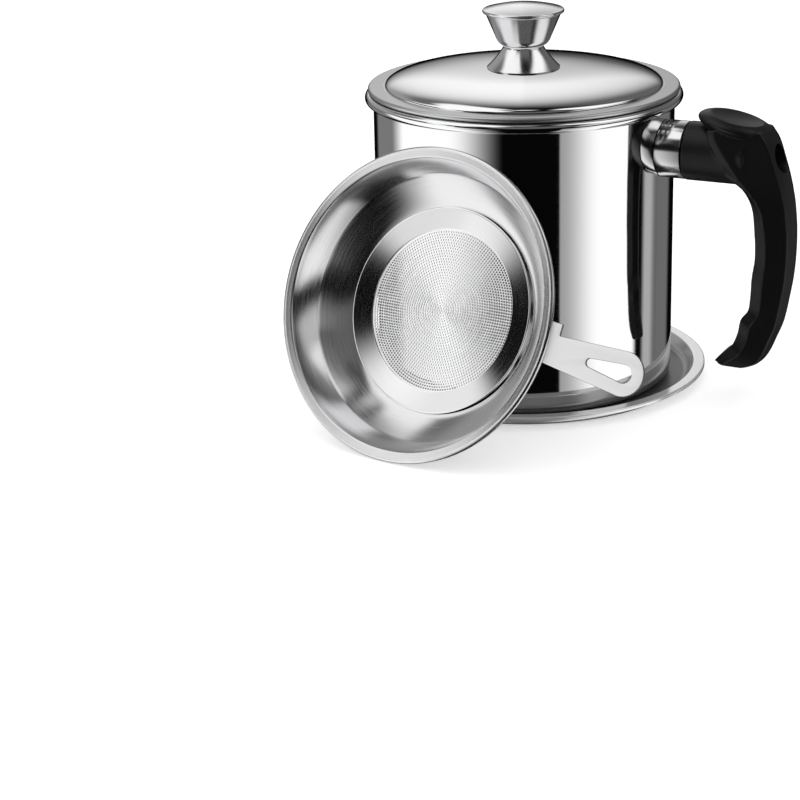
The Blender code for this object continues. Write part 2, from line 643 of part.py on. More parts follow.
def strainer_frame():
    """The strainer stands on its rim and leans back until its base meets the pot."""
    lean = radians(STRAINER_LEAN_DEG)
    bearing = radians(STRAINER_BEARING_DEG)
    out = Vector((cos(bearing), sin(bearing), 0.0))
    heading = bearing + radians(STRAINER_TURN_DEG)
    facing = Vector((cos(heading) * cos(lean), sin(heading) * cos(lean), sin(lean)))
    side = Vector((-sin(heading), cos(heading), 0.0))
    turn = Matrix((side, facing.cross(side), facing)).transposed()
    ring_radius = STRAINER_RADIUS - STRAINER_EDGE_TUBE
    rise = ring_radius * cos(lean) + STRAINER_EDGE_TUBE * (1 + sin(lean))
    place = out * resting_reach(out, turn) + Vector((0.0, 0.0, rise))
    frame = bpy.data.objects.new("strainer_frame", None)
    PARTS.objects.link(frame)
    frame.matrix_world = Matrix.Translation(place) @ turn.to_4x4()
    return frame


def make_strainer_bowl(frame):
    sheet = STRAINER_SHEET
    ledge_top = -STRAINER_DEPTH + sheet
    step = (STRAINER_STEP_RADIUS, -STRAINER_STEP_DROP)
    inside = bezier((STRAINER_MOUTH_RADIUS, 0.0), (STRAINER_MOUTH_RADIUS - sheet, step[1] / 2),
                    step, 3)
    inside += bezier(step, (STRAINER_BASE_RADIUS + sheet * 4, ledge_top + sheet),
                     (STRAINER_BASE_RADIUS - sheet, ledge_top), 3)[1:]
    outside = offset_path(inside, -sheet)
    outside[0] = (STRAINER_MOUTH_RADIUS + sheet, -sheet)
    outside[-1] = (STRAINER_BASE_RADIUS, -STRAINER_DEPTH)
    hole = STRAINER_BASE_RADIUS - STRAINER_LEDGE_WIDTH
    edge = (STRAINER_RADIUS - STRAINER_EDGE_TUBE, -STRAINER_EDGE_TUBE)
    tuck_deg = degrees(asin((STRAINER_EDGE_TUBE - sheet) / STRAINER_EDGE_TUBE))
    profile = [(hole, ledge_top)] + list(reversed(inside))
    profile += arc(edge, STRAINER_EDGE_TUBE, 90, -180 - tuck_deg, 6)
    profile += outside + [(hole, -STRAINER_DEPTH)]
    turned_part("strainer_bowl", profile, STEEL_SATIN, parent=frame)


def make_filter(frame):
    radius = STRAINER_BASE_RADIUS - STRAINER_SHEET * 3
    disc = solid_profile([(radius, FILTER_LEVEL, FILTER_LEVEL + FILTER_SHEET)])
    plate = turned_part("filter_plate", disc, STEEL_SATIN, closed=False, parent=frame)
    builder = bmesh.new()
    rows = int((RING_HOLE_RADIUS - FILTER_HOLE_RADIUS) / FILTER_HOLE_PITCH)
    for row in range(rows + 1):
        count = max(1, 6 * row)
        for index in range(count):
            angle = 2 * pi * index / count
            place = Matrix.Translation((row * FILTER_HOLE_PITCH * cos(angle),
                                        row * FILTER_HOLE_PITCH * sin(angle), FILTER_LEVEL))
            bmesh.ops.create_cone(builder, cap_ends=True, segments=FILTER_HOLE_SIDES,
                                  radius1=FILTER_HOLE_RADIUS, radius2=FILTER_HOLE_RADIUS,
                                  depth=FILTER_SHEET * 4, matrix=place)
    holes = bpy.data.meshes.new("filter_holes")
    builder.to_mesh(holes)
    builder.free()
    boolean(plate, add_cutter("filter_holes", holes, frame))

    outer = STRAINER_BASE_RADIUS - STRAINER_SHEET - SEAT_GAP
    under_edge = RING_LEVEL + RING_RISE
    ring = [(RING_HOLE_RADIUS, RING_LEVEL + RING_SHEET), (outer, under_edge + RING_SHEET),
            (outer, FILTER_LEVEL), (outer - RING_SHEET, FILTER_LEVEL),
            (outer - RING_SHEET, under_edge), (RING_HOLE_RADIUS, RING_LEVEL)]
    turned_part("filter_ring", ring, STEEL_POLISHED, parent=frame)


def outline_spline(curve, points):
    spline = curve.splines.new("POLY")
    spline.points.add(len(points) - 1)
    for point, place in zip(spline.points, points):
        point.co = (place[0], place[1], 0.0, 1.0)
    spline.use_cyclic_u = True


def rounded_taper(small_x, small_radius, large_x, large_radius):
    """The outline round two unlike circles on the X axis, as for a hang slot."""
    spread = degrees(acos((small_radius - large_radius) / (large_x - small_x)))
    points = arc((large_x, 0.0), large_radius, -spread, spread, 10)
    points += arc((small_x, 0.0), small_radius, spread, 360 - spread, 8)
    return points


def make_tab(frame):
    """The strainer's flat handle, welded under its flange, with a hang slot."""
    curve = bpy.data.curves.new("strainer_tab", "CURVE")
    curve.dimensions = "2D"
    curve.fill_mode = "BOTH"
    curve.extrude = TAB_SHEET / 2
    end_x = TAB_REACH - TAB_END_RADIUS
    half = TAB_ROOT_WIDTH / 2
    tilt = degrees(asin((TAB_END_RADIUS - half) / (end_x - TAB_ROOT_REACH)))
    outline = arc((end_x, 0.0), TAB_END_RADIUS, -90 - tilt, 90 + tilt, 14)
    shoulder = half + (TAB_END_RADIUS - half) * (
        (TAB_EAR_REACH - TAB_ROOT_REACH) / (end_x - TAB_ROOT_REACH))
    outline += [(TAB_EAR_REACH, shoulder), (TAB_EAR_REACH, half + TAB_EAR_WIDTH),
                (TAB_ROOT_REACH, half + TAB_EAR_WIDTH), (TAB_ROOT_REACH, -half)]
    outline_spline(curve, outline)
    slot = rounded_taper(end_x - TAB_SLOT_SPAN, TAB_SLOT_SMALL_RADIUS, end_x,
                         TAB_SLOT_LARGE_RADIUS)
    outline_spline(curve, slot)
    tab = add_part("strainer_tab", curve, STEEL_PALE, frame)
    tab.location = (0.0, 0.0, -STRAINER_EDGE_TUBE * 2 - SEAT_GAP - TAB_SHEET / 2)
    tab.rotation_euler = (0.0, 0.0, radians(TAB_BEARING_DEG))


clear_scene()
PARTS = new_collection("bacon_grease_container")
CUTTERS = new_collection("cutters")
make_tray()
make_pot()
make_lid()
make_knob()
make_knob_fastening()
make_handle_mounting()
make_grip()
make_handle_fastening()
STRAINER = strainer_frame()
make_strainer_bowl(STRAINER)
make_filter(STRAINER)
make_tab(STRAINER)
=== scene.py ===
# %% [markdown]
# # A bacon grease container, dressed for its picture
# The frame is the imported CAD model: a drip tray, a lidded steel pot with a moulded
# side handle, and a fine strainer that leans on the pot. It could be rendered as it
# is, but its curves are coarse and its steel is plain. So this script keeps every
# place and size, and turns, lofts and perforates finer pieces over it.

# %% Load the frame
from math import acos, asin, atan2, cos, degrees, pi, radians, sin, sqrt

import bmesh
import bpy
from mathutils import Matrix, Vector


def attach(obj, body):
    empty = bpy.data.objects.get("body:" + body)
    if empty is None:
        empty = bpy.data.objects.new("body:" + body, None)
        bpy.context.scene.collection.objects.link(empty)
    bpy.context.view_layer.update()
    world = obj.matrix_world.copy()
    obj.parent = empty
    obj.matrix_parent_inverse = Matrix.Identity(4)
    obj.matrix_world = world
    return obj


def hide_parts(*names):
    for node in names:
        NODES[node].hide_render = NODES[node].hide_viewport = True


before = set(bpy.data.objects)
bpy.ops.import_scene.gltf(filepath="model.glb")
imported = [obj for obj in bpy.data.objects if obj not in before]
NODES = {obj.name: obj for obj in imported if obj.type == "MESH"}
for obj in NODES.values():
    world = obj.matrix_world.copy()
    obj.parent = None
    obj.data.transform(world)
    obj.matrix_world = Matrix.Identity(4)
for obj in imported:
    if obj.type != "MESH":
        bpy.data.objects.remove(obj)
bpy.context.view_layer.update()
MM = 0.001

# %% [markdown]
# ## Helpers for colours, nodes and objects
# A colour is easiest to write as the sRGB hex value that a colour picker shows, but
# Blender's sockets want linear light. One function converts it. One more adds a node
# with its settings and its inputs, so that a material or a tree reads as a list. The
# last two make a mesh from a finished bmesh, and an object that is in the scene.

# %% Colour and node helpers
WHITE = (1.0, 1.0, 1.0, 1.0)


def srgb(code):
    """A hex colour as linear RGBA."""
    parts = [int(code[i:i + 2], 16) / 255 for i in (1, 3, 5)]
    linear = [p / 12.92 if p <= 0.04045 else ((p + 0.055) / 1.055) ** 2.4 for p in parts]
    return (*linear, 1.0)


def add_node(tree, kind, inputs=(), **settings):
    """A node with its settings. Each input is a value, a socket, a node whose first output
    is meant, or a list of these where one socket takes several links."""
    node = tree.nodes.new(kind)
    for name, value in settings.items():
        setattr(node, name, value)
    for key, given in inputs.items() if isinstance(inputs, dict) else enumerate(inputs):
        for item in given if isinstance(given, list) else [given]:
            if isinstance(item, bpy.types.Node):
                item = item.outputs[0]
            if isinstance(item, bpy.types.NodeSocket):
                tree.links.new(item, node.inputs[key])
            else:
                node.inputs[key].default_value = item
    return node


def new_material(name, values):
    """A Principled material, with its constant values set on the shader's own sockets."""
    material = bpy.data.materials.new(name)
    material.use_nodes = True
    shader = material.node_tree.nodes["Principled BSDF"]
    for socket, value in values.items():
        shader.inputs[socket].default_value = value
    return material, material.node_tree, shader


def mesh_from(name, build):
    """A mesh from a bmesh, which is freed."""
    mesh = bpy.data.meshes.new(name)
    build.to_mesh(mesh)
    build.free()
    return mesh


def new_object(name, data):
    """An object that holds the data and is in the scene."""
    item = bpy.data.objects.new(name, data)
    bpy.context.scene.collection.objects.link(item)
    return item


print("steel grey in linear light:", [round(v, 3) for v in srgb("#d4d4d4")[:3]])

# %% [markdown]
# ## The camera
# The photograph looks down on the pot by about twenty degrees from its strainer's
# side. The place, the turn and the lens come from fitting the outlines of the pot,
# tray and lid. The camera is placed by its own axes: forward, right and up.

# %% Camera
CAMERA_PLACE = Vector((381.6, -898.9, 340.0)) * MM
CAMERA_AZIMUTH = atan2(CAMERA_PLACE.y, CAMERA_PLACE.x)
CAMERA_YAW = -0.05559 - radians(23.0)
CAMERA_PITCH = 0.34741
CAMERA_ROLL = -0.0228
LENS, SENSOR_WIDTH = 107.43, 36.0      # mm

forward = Vector((sin(CAMERA_YAW) * cos(CAMERA_PITCH), cos(CAMERA_YAW) * cos(CAMERA_PITCH),
                  -sin(CAMERA_PITCH)))
right = Vector((cos(CAMERA_YAW), -sin(CAMERA_YAW), 0.0))
up = right.cross(forward)
rolled_right = right * cos(CAMERA_ROLL) + up * sin(CAMERA_ROLL)
rolled_up = up * cos(CAMERA_ROLL) - right * sin(CAMERA_ROLL)

lens = bpy.data.cameras.new("camera")
lens.lens, lens.sensor_width, lens.clip_start = LENS, SENSOR_WIDTH, 0.01
camera = new_object("camera", lens)
camera.matrix_world = Matrix.Translation(CAMERA_PLACE) @ Matrix(
    (rolled_right, rolled_up, -forward)).transposed().to_4x4()
bpy.context.scene.camera = camera
bpy.context.scene.view_settings.view_transform = "Standard"
print("camera", round(CAMERA_PLACE.length, 3), "m away, azimuth",
      round(degrees(CAMERA_AZIMUTH), 1))

# %% [markdown]
# ## The studio that the steel mirrors
# Polished steel has hardly any colour of its own: what the eye sees is the room.
# A photographer stands white sheets and black flags round such a pot. They could be
# emissive planes, but the world's shader does it with no geometry in the way. Each
# panel is a patch of sky between two azimuths and two elevations. Azimuth 0 lies
# towards the camera and grows to its right. Only glossy and transmission rays see the
# panels. Camera rays see plain white, and diffuse rays see one plain level.

# %% World: the panel group
# A panel's place in degrees, with the widths of its four soft edges, and its brightness.
PANEL_FIELDS = ("Left", "Right", "Left Edge", "Right Edge", "Bottom", "Top", "Bottom Edge",
                "Top Edge", "Level")


def make_panel_group():
    """Mixes a level over what lies behind it, inside a soft window of directions."""
    group = bpy.data.node_groups.new("studio_panel", "ShaderNodeTree")
    for name in ("Behind", "Azimuth", "Elevation") + PANEL_FIELDS:
        group.interface.new_socket(name=name, in_out="INPUT", socket_type="NodeSocketFloat")
    group.interface.new_socket(name="Light", in_out="OUTPUT", socket_type="NodeSocketFloat")
    given = add_node(group, "NodeGroupInput").outputs

    def past(angle, name):
        """0 before the named edge and 1 past it, over its soft width."""
        half = add_node(group, "ShaderNodeMath", (given[name + " Edge"], 0.5),
                        operation="MULTIPLY")
        low, high = (add_node(group, "ShaderNodeMath", (given[name], half), operation=way)
                     for way in ("SUBTRACT", "ADD"))
        return add_node(group, "ShaderNodeMapRange", interpolation_type="SMOOTHSTEP",
                        inputs={"Value": given[angle], "From Min": low, "From Max": high})

    inside = []
    for angle, first, last in (("Azimuth", "Left", "Right"), ("Elevation", "Bottom", "Top")):
        before = add_node(group, "ShaderNodeMath", (1.0, past(angle, last)),
                          operation="SUBTRACT")
        inside.append(add_node(group, "ShaderNodeMath", (past(angle, first), before),
                               operation="MULTIPLY"))
    share = add_node(group, "ShaderNodeMath", inside, operation="MULTIPLY")
    light = add_node(group, "ShaderNodeMix", data_type="FLOAT",
                     inputs={0: share, 2: given["Behind"], 3: given["Level"]})
    add_node(group, "NodeGroupOutput", {"Light": light})
    return group


PANEL_GROUP = make_panel_group()
print("panel inputs:", len(PANEL_GROUP.interface.items_tree) - 1)

# %% World: the panels
# Each row fills a panel's fields in their order. Later rows lie over earlier ones.
BASE_LEVEL, PLAIN_LEVEL = 0.002, 0.95     # the black between panels; what diffuse rays see
PANELS = (
    # the ring of walls that the pot's side mirrors, from the far left to the far right
    (-150, -112, 10, 10, -30, 2, 8, 8, 0.22),
    (-112, -38, 18, 46, -60, 2, 8, 8, 1.25),
    (27, 94, 2, 6, -60, -7, 8, 8, 0.42),
    (44, 94, 34, 6, -60, -7, 8, 8, 1.25),
    (104, 119, 6, 14, -34, 2, 8, 8, 0.48),
    (119, 147, 14, 10, -30, 2, 8, 8, 0.17),
    # two low sheets, mirrored by the knob's cup
    (-105, -65, 24, 24, -82, -52, 8, 8, 1.25),
    (80, 118, 24, 24, -82, -44, 8, 8, 1.25),
    # the dim ceiling beyond the pot, mirrored by the sides of the dome
    (-181, -104, 1, 40, 6, 62, 8, 26, 0.16),
    (-181, -108, 1, 30, 6, 34, 8, 16, 0.36),
    (108, 181, 50, 1, 6, 62, 8, 26, 0.14),
    # the tall white strip behind: the dome's broad highlight and the tray's rim
    (-181, -165, 1, 30, 12, 40, 9, 44, 1.12),
    (169, 181, 30, 1, 12, 40, 9, 44, 1.12),
    # tall sheets on both sides of the camera, mirrored by the knob's foot and the ferrule
    (-105, -46, 20, 24, 31, 76, 8, 8, 1.25),
    (60, 112, 24, 22, 33, 76, 8, 8, 1.25),
    (-156, -24, 14, 14, 51, 80, 8, 8, 1.20),
    # low sheets round the black flag that crosses the strainer's ring
    (-110, -50, 10, 4, -4, 7, 5, 5, 1.15),
    (-66, -50, 4, 4, 4, 15, 5, 5, 0.90),
    (-112, -66, 12, 4, 24, 33, 5, 6, 1.00),
    (40, 96, 12, 12, 12, 33, 8, 8, 0.70),
    # a grey sheet above the camera, so that the dome isn't black from behind
    (-24, 40, 16, 16, 23, 62, 10, 16, 0.14),
    # a sheet overhead, mirrored by the pot's inside
    (-181, 181, 1, 1, 85, 92, 6, 1, 0.90),
    # the small window that the flat filter mirrors
    (-74, -58, 4, 4, 14, 24, 4, 4, 1.40),
)
print(len(PANELS), "panels in the studio")

# %% World: background and plain light
world = bpy.data.worlds.new("studio")
bpy.context.scene.world = world
world.use_nodes = True
sky = world.node_tree
sky.nodes.clear()
direction = add_node(sky, "ShaderNodeTexCoord").outputs["Generated"]
turned = add_node(sky, "ShaderNodeMapping", vector_type="POINT",
                  inputs={"Vector": direction, "Rotation": (0.0, 0.0, -CAMERA_AZIMUTH)})
axes = add_node(sky, "ShaderNodeSeparateXYZ", (turned,)).outputs
angles = []
for operation, parts in (("ARCTAN2", (axes["Y"], axes["X"])), ("ARCSINE", (axes["Z"],))):
    angle = add_node(sky, "ShaderNodeMath", parts, operation=operation)
    angles.append(add_node(sky, "ShaderNodeMath", (angle, 180 / pi), operation="MULTIPLY"))
light = BASE_LEVEL
for row in PANELS:
    light = add_node(sky, "ShaderNodeGroup", node_tree=PANEL_GROUP, inputs={
        "Behind": light, "Azimuth": angles[0], "Elevation": angles[1],
        **dict(zip(PANEL_FIELDS, row))})
rays = add_node(sky, "ShaderNodeLightPath").outputs
mirrored = add_node(sky, "ShaderNodeMath", operation="MAXIMUM",
                    inputs=(rays["Is Glossy Ray"], rays["Is Transmission Ray"]))
lit = add_node(sky, "ShaderNodeMix", data_type="FLOAT",
               inputs={0: mirrored, 2: PLAIN_LEVEL, 3: light})
seen = add_node(sky, "ShaderNodeMix", data_type="FLOAT",
                inputs={0: rays["Is Camera Ray"], 2: lit, 3: 1.0})
background = add_node(sky, "ShaderNodeBackground", {"Color": WHITE, "Strength": seen})
add_node(sky, "ShaderNodeOutputWorld", {"Surface": background})
print("world shader:", len(sky.nodes), "nodes")

# %% [markdown]
# ## The floor
# The pot stands on a white sweep. A plane is enough. Its paint is a plain white, and
# for camera rays a little light is added, so that the open floor meets the white
# background with no line while the shadow under the tray stays. Mirrored rays skip
# it, because the panels go all the way down.

# %% Floor and lamp
FLOOR_SIZE, FLOOR_DROP, FLOOR_GLOW = 12.0, 0.05 * MM, 0.42
LAMP_PLACE, LAMP_SIZE, LAMP_POWER = Vector((-0.5, -0.6, 1.6)), 1.2, 2.0
floor_build = bmesh.new()
bmesh.ops.create_grid(floor_build, x_segments=4, y_segments=4, size=FLOOR_SIZE / 2)
floor = new_object("floor", mesh_from("floor", floor_build))
floor.location.z = -FLOOR_DROP
floor.visible_glossy = False
paint, tree, shader = new_material("white_matt_paint", {
    "Base Color": srgb("#f4f4f4"), "Roughness": 0.9, "Specular IOR Level": 0.1,
    "Emission Color": WHITE})
camera_ray = add_node(tree, "ShaderNodeLightPath").outputs["Is Camera Ray"]
glow = add_node(tree, "ShaderNodeMath", (camera_ray, FLOOR_GLOW), operation="MULTIPLY")
tree.links.new(glow.outputs[0], shader.inputs["Emission Strength"])
floor.data.materials.append(paint)

lamp_data = bpy.data.lights.new("softbox", "AREA")
lamp_data.shape = "DISK"
lamp_data.size, lamp_data.energy = LAMP_SIZE, LAMP_POWER
lamp = new_object("softbox", lamp_data)
lamp.location = LAMP_PLACE
lamp.rotation_euler = (-LAMP_PLACE).to_track_quat("-Z", "Y").to_euler()
lamp.visible_glossy = False
print("floor", FLOOR_SIZE, "m, lamp", LAMP_POWER, "W")

# %% [markdown]
# ## Materials
# All the bright sheet is 18/8 stainless steel, and what tells its parts apart is how
# each surface was finished: lapped to a mirror, buffed, rolled, pressed, blasted or
# sheared. So one function makes them all, from a colour, a grain size in millimetres,
# a bump and a range of roughness. The pot, the lid and the tray carry two finishes
# that meet at a radius, so a second function blends them there. On the lid's flange
# and the tray's floor it also paints a darker grey, which is painted shade. The grip
# is a phenolic moulding with a satin skin. Patterns read Object coordinates.

# %% Grain, finishes and zones
def add_grain(tree, shader, vector, bump, gloss, depth_mm=0.02, detail=3.0, breakup=0.55,
              span=(0.3, 0.7)):
    """One noise sets both gloss and bump, as the same scratches do on a real surface."""
    noise = add_node(tree, "ShaderNodeTexNoise", {
        "Vector": vector, "Scale": 1.0, "Detail": detail, "Roughness": breakup})
    roughness = add_node(tree, "ShaderNodeMapRange", {
        "Value": noise, "From Min": span[0], "From Max": span[1], "To Min": gloss[0],
        "To Max": gloss[1]})
    relief = add_node(tree, "ShaderNodeBump", {
        "Height": noise, "Strength": bump, "Distance": depth_mm * MM})
    tree.links.new(roughness.outputs[0], shader.inputs["Roughness"])
    tree.links.new(relief.outputs[0], shader.inputs["Normal"])


def finish(name, constants, grain_mm, bump, gloss, **noise):
    """A material whose grain has a size in mm along X, Y and Z."""
    material, tree, shader = new_material(name, constants)
    place = add_node(tree, "ShaderNodeTexCoord").outputs["Object"]
    scaled = add_node(tree, "ShaderNodeMapping", {
        "Vector": place, "Scale": tuple(1 / (size * MM) for size in grain_mm)})
    add_grain(tree, shader, scaled, bump, gloss, **noise)
    return material


def steel(name, colour, metallic, grain_mm, bump, gloss):
    """A steel finish, named for how its surface was made."""
    return finish(name, {"Base Color": srgb(colour), "Metallic": metallic}, grain_mm, bump,
                  gloss)


def add_zone(material, start_mm, end_mm, roughness, colour=None, inside=True):
    """A second finish inside a radius about the pot's axis, or else beyond it. A colour given
    to it is painted shade.
    """
    tree = material.node_tree
    shader = tree.nodes["Principled BSDF"]
    place = add_node(tree, "ShaderNodeTexCoord").outputs["Object"]
    flat = add_node(tree, "ShaderNodeVectorMath", (place, (1.0, 1.0, 0.0)),
                    operation="MULTIPLY")
    reach = add_node(tree, "ShaderNodeVectorMath", (flat,), operation="LENGTH")
    share = add_node(tree, "ShaderNodeMapRange", {
        "Value": reach.outputs["Value"], "From Min": start_mm * MM, "From Max": end_mm * MM})
    first, second = (3, 2) if inside else (2, 3)    # the Mix node's A is 2 and B is 3
    polish = shader.inputs["Roughness"].links[0].from_socket
    gloss = add_node(tree, "ShaderNodeMix", {0: share, first: polish, second: roughness},
                     data_type="FLOAT")
    tree.links.new(gloss.outputs[0], shader.inputs["Roughness"])
    if colour:                                      # for colours A is 6 and B is 7
        own = tuple(shader.inputs["Base Color"].default_value)
        tone = add_node(tree, "ShaderNodeMix", data_type="RGBA", inputs={
            0: share, first + 4: own, second + 4: srgb(colour)})
        tree.links.new(tone.outputs[2], shader.inputs["Base Color"])


print("one noise gives a finish both its gloss and its bump")

# %% Steel finishes
# The pot's drawn sheet: a mirror outside, broken only by faint lines, and satin inside.
POT_STEEL = steel("stainless_steel_polished_satin_inside", "#e7e7e8", 1.0,
                  (60.0, 60.0, 0.4), 0.02, (0.03, 0.07))
add_zone(POT_STEEL, 61.9, 62.2, 0.36)
# The lid's sheet: the same mirror on the dome, but its flat flange is a satin whose darker grey
# colour is painted shade.
LID_STEEL = steel("stainless_steel_polished_with_painted_shade_satin_rim", "#e7e7e8", 1.0,
                  (60.0, 60.0, 0.4), 0.02, (0.03, 0.07))
# painted shade: the flange beyond 57.6 mm is painted a darker grey
add_zone(LID_STEEL, 57.6, 58.3, 0.34, "#c6c6c7", inside=False)
# The knob and the ferrule are buffed, not lapped: a softer mirror than the pot's.
KNOB_STEEL = steel("stainless_steel_buffed", "#e2e2e3", 1.0, (40.0, 40.0, 0.4), 0.02,
                   (0.13, 0.18))
# The skirt's bright rolled sheet: grain 0.3 mm wide and 12 mm long, soft highlights.
ROLLED_SHEET = steel("stainless_steel_bright_rolled_sheet", "#f0f0f0", 1.0,
                     (12.0, 0.3, 4.0), 0.04, (0.11, 0.17))
# The tray's sheet: a bright rim, and a matt floor painted dark grey, which is painted shade
# where the pot stands on it.
TRAY_STEEL = steel("stainless_steel_pressed_painted_shade_floor", "#ececec", 0.6, (12.0, 0.3, 4.0),
                   0.04, (0.14, 0.20))
# painted shade: the floor inside 68 mm is painted dark grey round the pot's foot
add_zone(TRAY_STEEL, 68.0, 71.0, 0.34, "#606061")
# The flat handle's blasted face: pits 0.25 mm across scatter light almost as paint does.
BLASTED_STEEL = steel("stainless_steel_bead_blasted_sheet", "#efefef", 0.35,
                      (0.25, 0.25, 0.25), 0.10, (0.42, 0.52))
# Its sheared edge: torn grain 0.2 mm long, darker than the face.
SHEARED_STEEL = steel("stainless_steel_sheared_edge", "#7c7c7d", 0.8, (0.2, 0.2, 0.6), 0.10,
                      (0.36, 0.50))
# Zinc plating on screws and washers: bluish grey with a faint mottle, 0.8 mm across.
ZINC = steel("zinc_plated_steel", "#b9bcc0", 1.0, (0.8, 0.8, 0.8), 0.15, (0.22, 0.38))
print("steels:", [m.name for m in bpy.data.materials if "steel" in m.name])

# %% Phenolic
# Moulded phenolic: near black, its skin a satin with an orange peel 0.6 mm across.
PHENOLIC = finish("phenolic_black_satin_moulded", {
    "Base Color": srgb("#090909"), "Metallic": 0.0, "IOR": 1.5, "Specular IOR Level": 0.32},
    (0.6, 0.6, 0.6), 0.12, (0.36, 0.46), depth_mm=0.05, detail=2.0, breakup=0.5,
    span=(0.0, 1.0))
print(PHENOLIC.name, "made")

# %% [markdown]
# ## Turning a piece
# Almost every steel piece is round: drawn, spun or pressed over a former. Blender's
# Screw modifier turns a profile, and so does the small function here, which writes
# the rings of points itself so that the place is in the mesh at once. Corners are
# given as points with a fillet radius. Next to each fillet lies one more ring, so
# that the shading of a long flat side stays flat right up to the bend. Every piece
# ends in add_piece, which says its body, its material slot and the node it replaces.

# %% Profiles
def metres(*rows):
    """Rows of millimetres as rows of metres."""
    return [tuple(value * MM for value in row) for row in rows]


def corners(*pairs):
    """Sharp corners of a profile, from (radius, height) pairs."""
    return [Vector(pair) for pair in pairs]


def fillet(rows, steps=7, support=0.25 * MM):
    """A profile from (radius, height, fillet radius) rows, rounded and supported."""
    points = []
    for index, (x, z, radius) in enumerate(rows):
        here = Vector((x, z))
        if radius <= 0 or index in (0, len(rows) - 1):
            points.append(here)
            continue
        before = Vector(rows[index - 1][:2]) - here
        after = Vector(rows[index + 1][:2]) - here
        bend = before.angle(after)
        reach = min(radius / max(sin(bend / 2) / cos(bend / 2), 0.001),
                    before.length * 0.45, after.length * 0.45)
        a = here + before.normalized() * reach
        b = here + after.normalized() * reach
        if before.length - reach > support * 2:
            points.append(a + before.normalized() * support)
        points += curve_through(a, here, b, steps)
        if after.length - reach > support * 2:
            points.append(b + after.normalized() * support)
    return points


def arc(centre, radius, start_deg, end_deg, steps):
    """Points of a circle's arc, both ends among them."""
    turns = (radians(start_deg + (end_deg - start_deg) * step / steps)
             for step in range(steps + 1))
    return [Vector((centre[0] + radius * cos(turn), centre[1] + radius * sin(turn)))
            for turn in turns]


def curve_through(start, control, end, steps):
    """Points of a quadratic curve with one control point."""
    a, b, c = Vector(start), Vector(control), Vector(end)
    return [a * (1 - t) ** 2 + b * 2 * t * (1 - t) + c * t ** 2
            for t in (step / steps for step in range(steps + 1))]


def shifted(profile, distance):
    """The path moved to the right of its travel, which is the other side of a sheet."""
    moved = []
    for index, point in enumerate(profile):
        before = profile[max(index - 1, 0)]
        after = profile[min(index + 1, len(profile) - 1)]
        along = (after - before).normalized()
        moved.append(Vector((point.x + along.y * distance, point.y - along.x * distance)))
    return moved


print("a square corner with a 1 mm fillet has",
      len(fillet(metres((0, 0, 0), (9, 0, 1), (9, 9, 0)))) - 2, "points")

# %% Pieces, turned and other
TURN_FACETS = 240          # round a piece
MERGE = 0.004 * MM         # profile points closer than this are one


def add_piece(name, mesh, material, body, replaced, sharp_deg=32):
    """Shades a finished mesh, gives it its material and hangs it on its CAD body."""
    mesh.materials.clear()
    mesh.materials.append(material)
    mesh.polygons.foreach_set("use_smooth", [True] * len(mesh.polygons))
    mesh.set_sharp_from_angle(angle=radians(sharp_deg))
    piece = new_object(name, mesh)
    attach(piece, body)
    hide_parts(replaced)
    mesh.calc_loop_triangles()
    print(name, len(mesh.loop_triangles), "triangles on", body)


def add_turned(name, profile, material, body, replaced, facets=TURN_FACETS, place=None,
               closed=True):
    """Revolves a (radius, height) profile about Z; points on the axis become poles."""
    outline = [Vector(profile[0])]
    for point in profile[1:]:
        if (point - outline[-1]).length > MERGE:
            outline.append(point)
    if closed and (outline[0] - outline[-1]).length < MERGE:
        outline.pop()
    build = bmesh.new()
    rings = []
    for radius, height in outline:
        turns = range(facets) if radius > 1e-7 else (0,)
        rings.append([build.verts.new((radius * cos(2 * pi * i / facets),
                                       radius * sin(2 * pi * i / facets), height))
                      for i in turns])
    pairs = list(zip(rings, rings[1:]))
    if closed:
        pairs.append((rings[-1], rings[0]))
    for upper, lower in pairs:
        for i in range(facets):
            j = (i + 1) % facets
            four = (upper[i % len(upper)], lower[i % len(lower)],
                    lower[j % len(lower)], upper[j % len(upper)])
            build.faces.new(list(dict.fromkeys(four)))
    bmesh.ops.recalc_face_normals(build, faces=build.faces)
    mesh = mesh_from(name, build)
    if place is not None:
        mesh.transform(place)
    add_piece(name, mesh, material, body, replaced)


print("turned pieces have", TURN_FACETS, "facets round")

# %% [markdown]
# ## Drip tray
# The tray is pressed from one disc: a flat floor, a curved wall, a flat rim and a
# short lip turned down. It could be a thin solid from a Solidify modifier. Here its
# outline is written whole, because the two sides of the sheet differ at the lip.

# %% Drip tray
tray = fillet(metres(
    (0, 0.8, 0), (69.5, 0.8, 3.5), (72.3, 5.9, 0.9), (77.1, 5.9, 1.0),    # upper side
    (77.1, 4.4, 0.15), (76.3, 4.4, 0.15),                                 # lip
    (76.3, 5.1, 0.3), (73.1, 5.1, 0.7), (70.0, 0, 3.9), (0, 0, 0)))       # under side
add_turned("drip_tray_pressed", tray, TRAY_STEEL, "tray", "drip_tray",
           closed=False)

# %% [markdown]
# ## Pot
# The pot is drawn from a disc into a cup and its rim is rolled outwards into a bead,
# so that no sharp edge is left. The wall is a single long ring of faces between two
# supports, which keeps the mirrored bands straight from the foot to the bead.

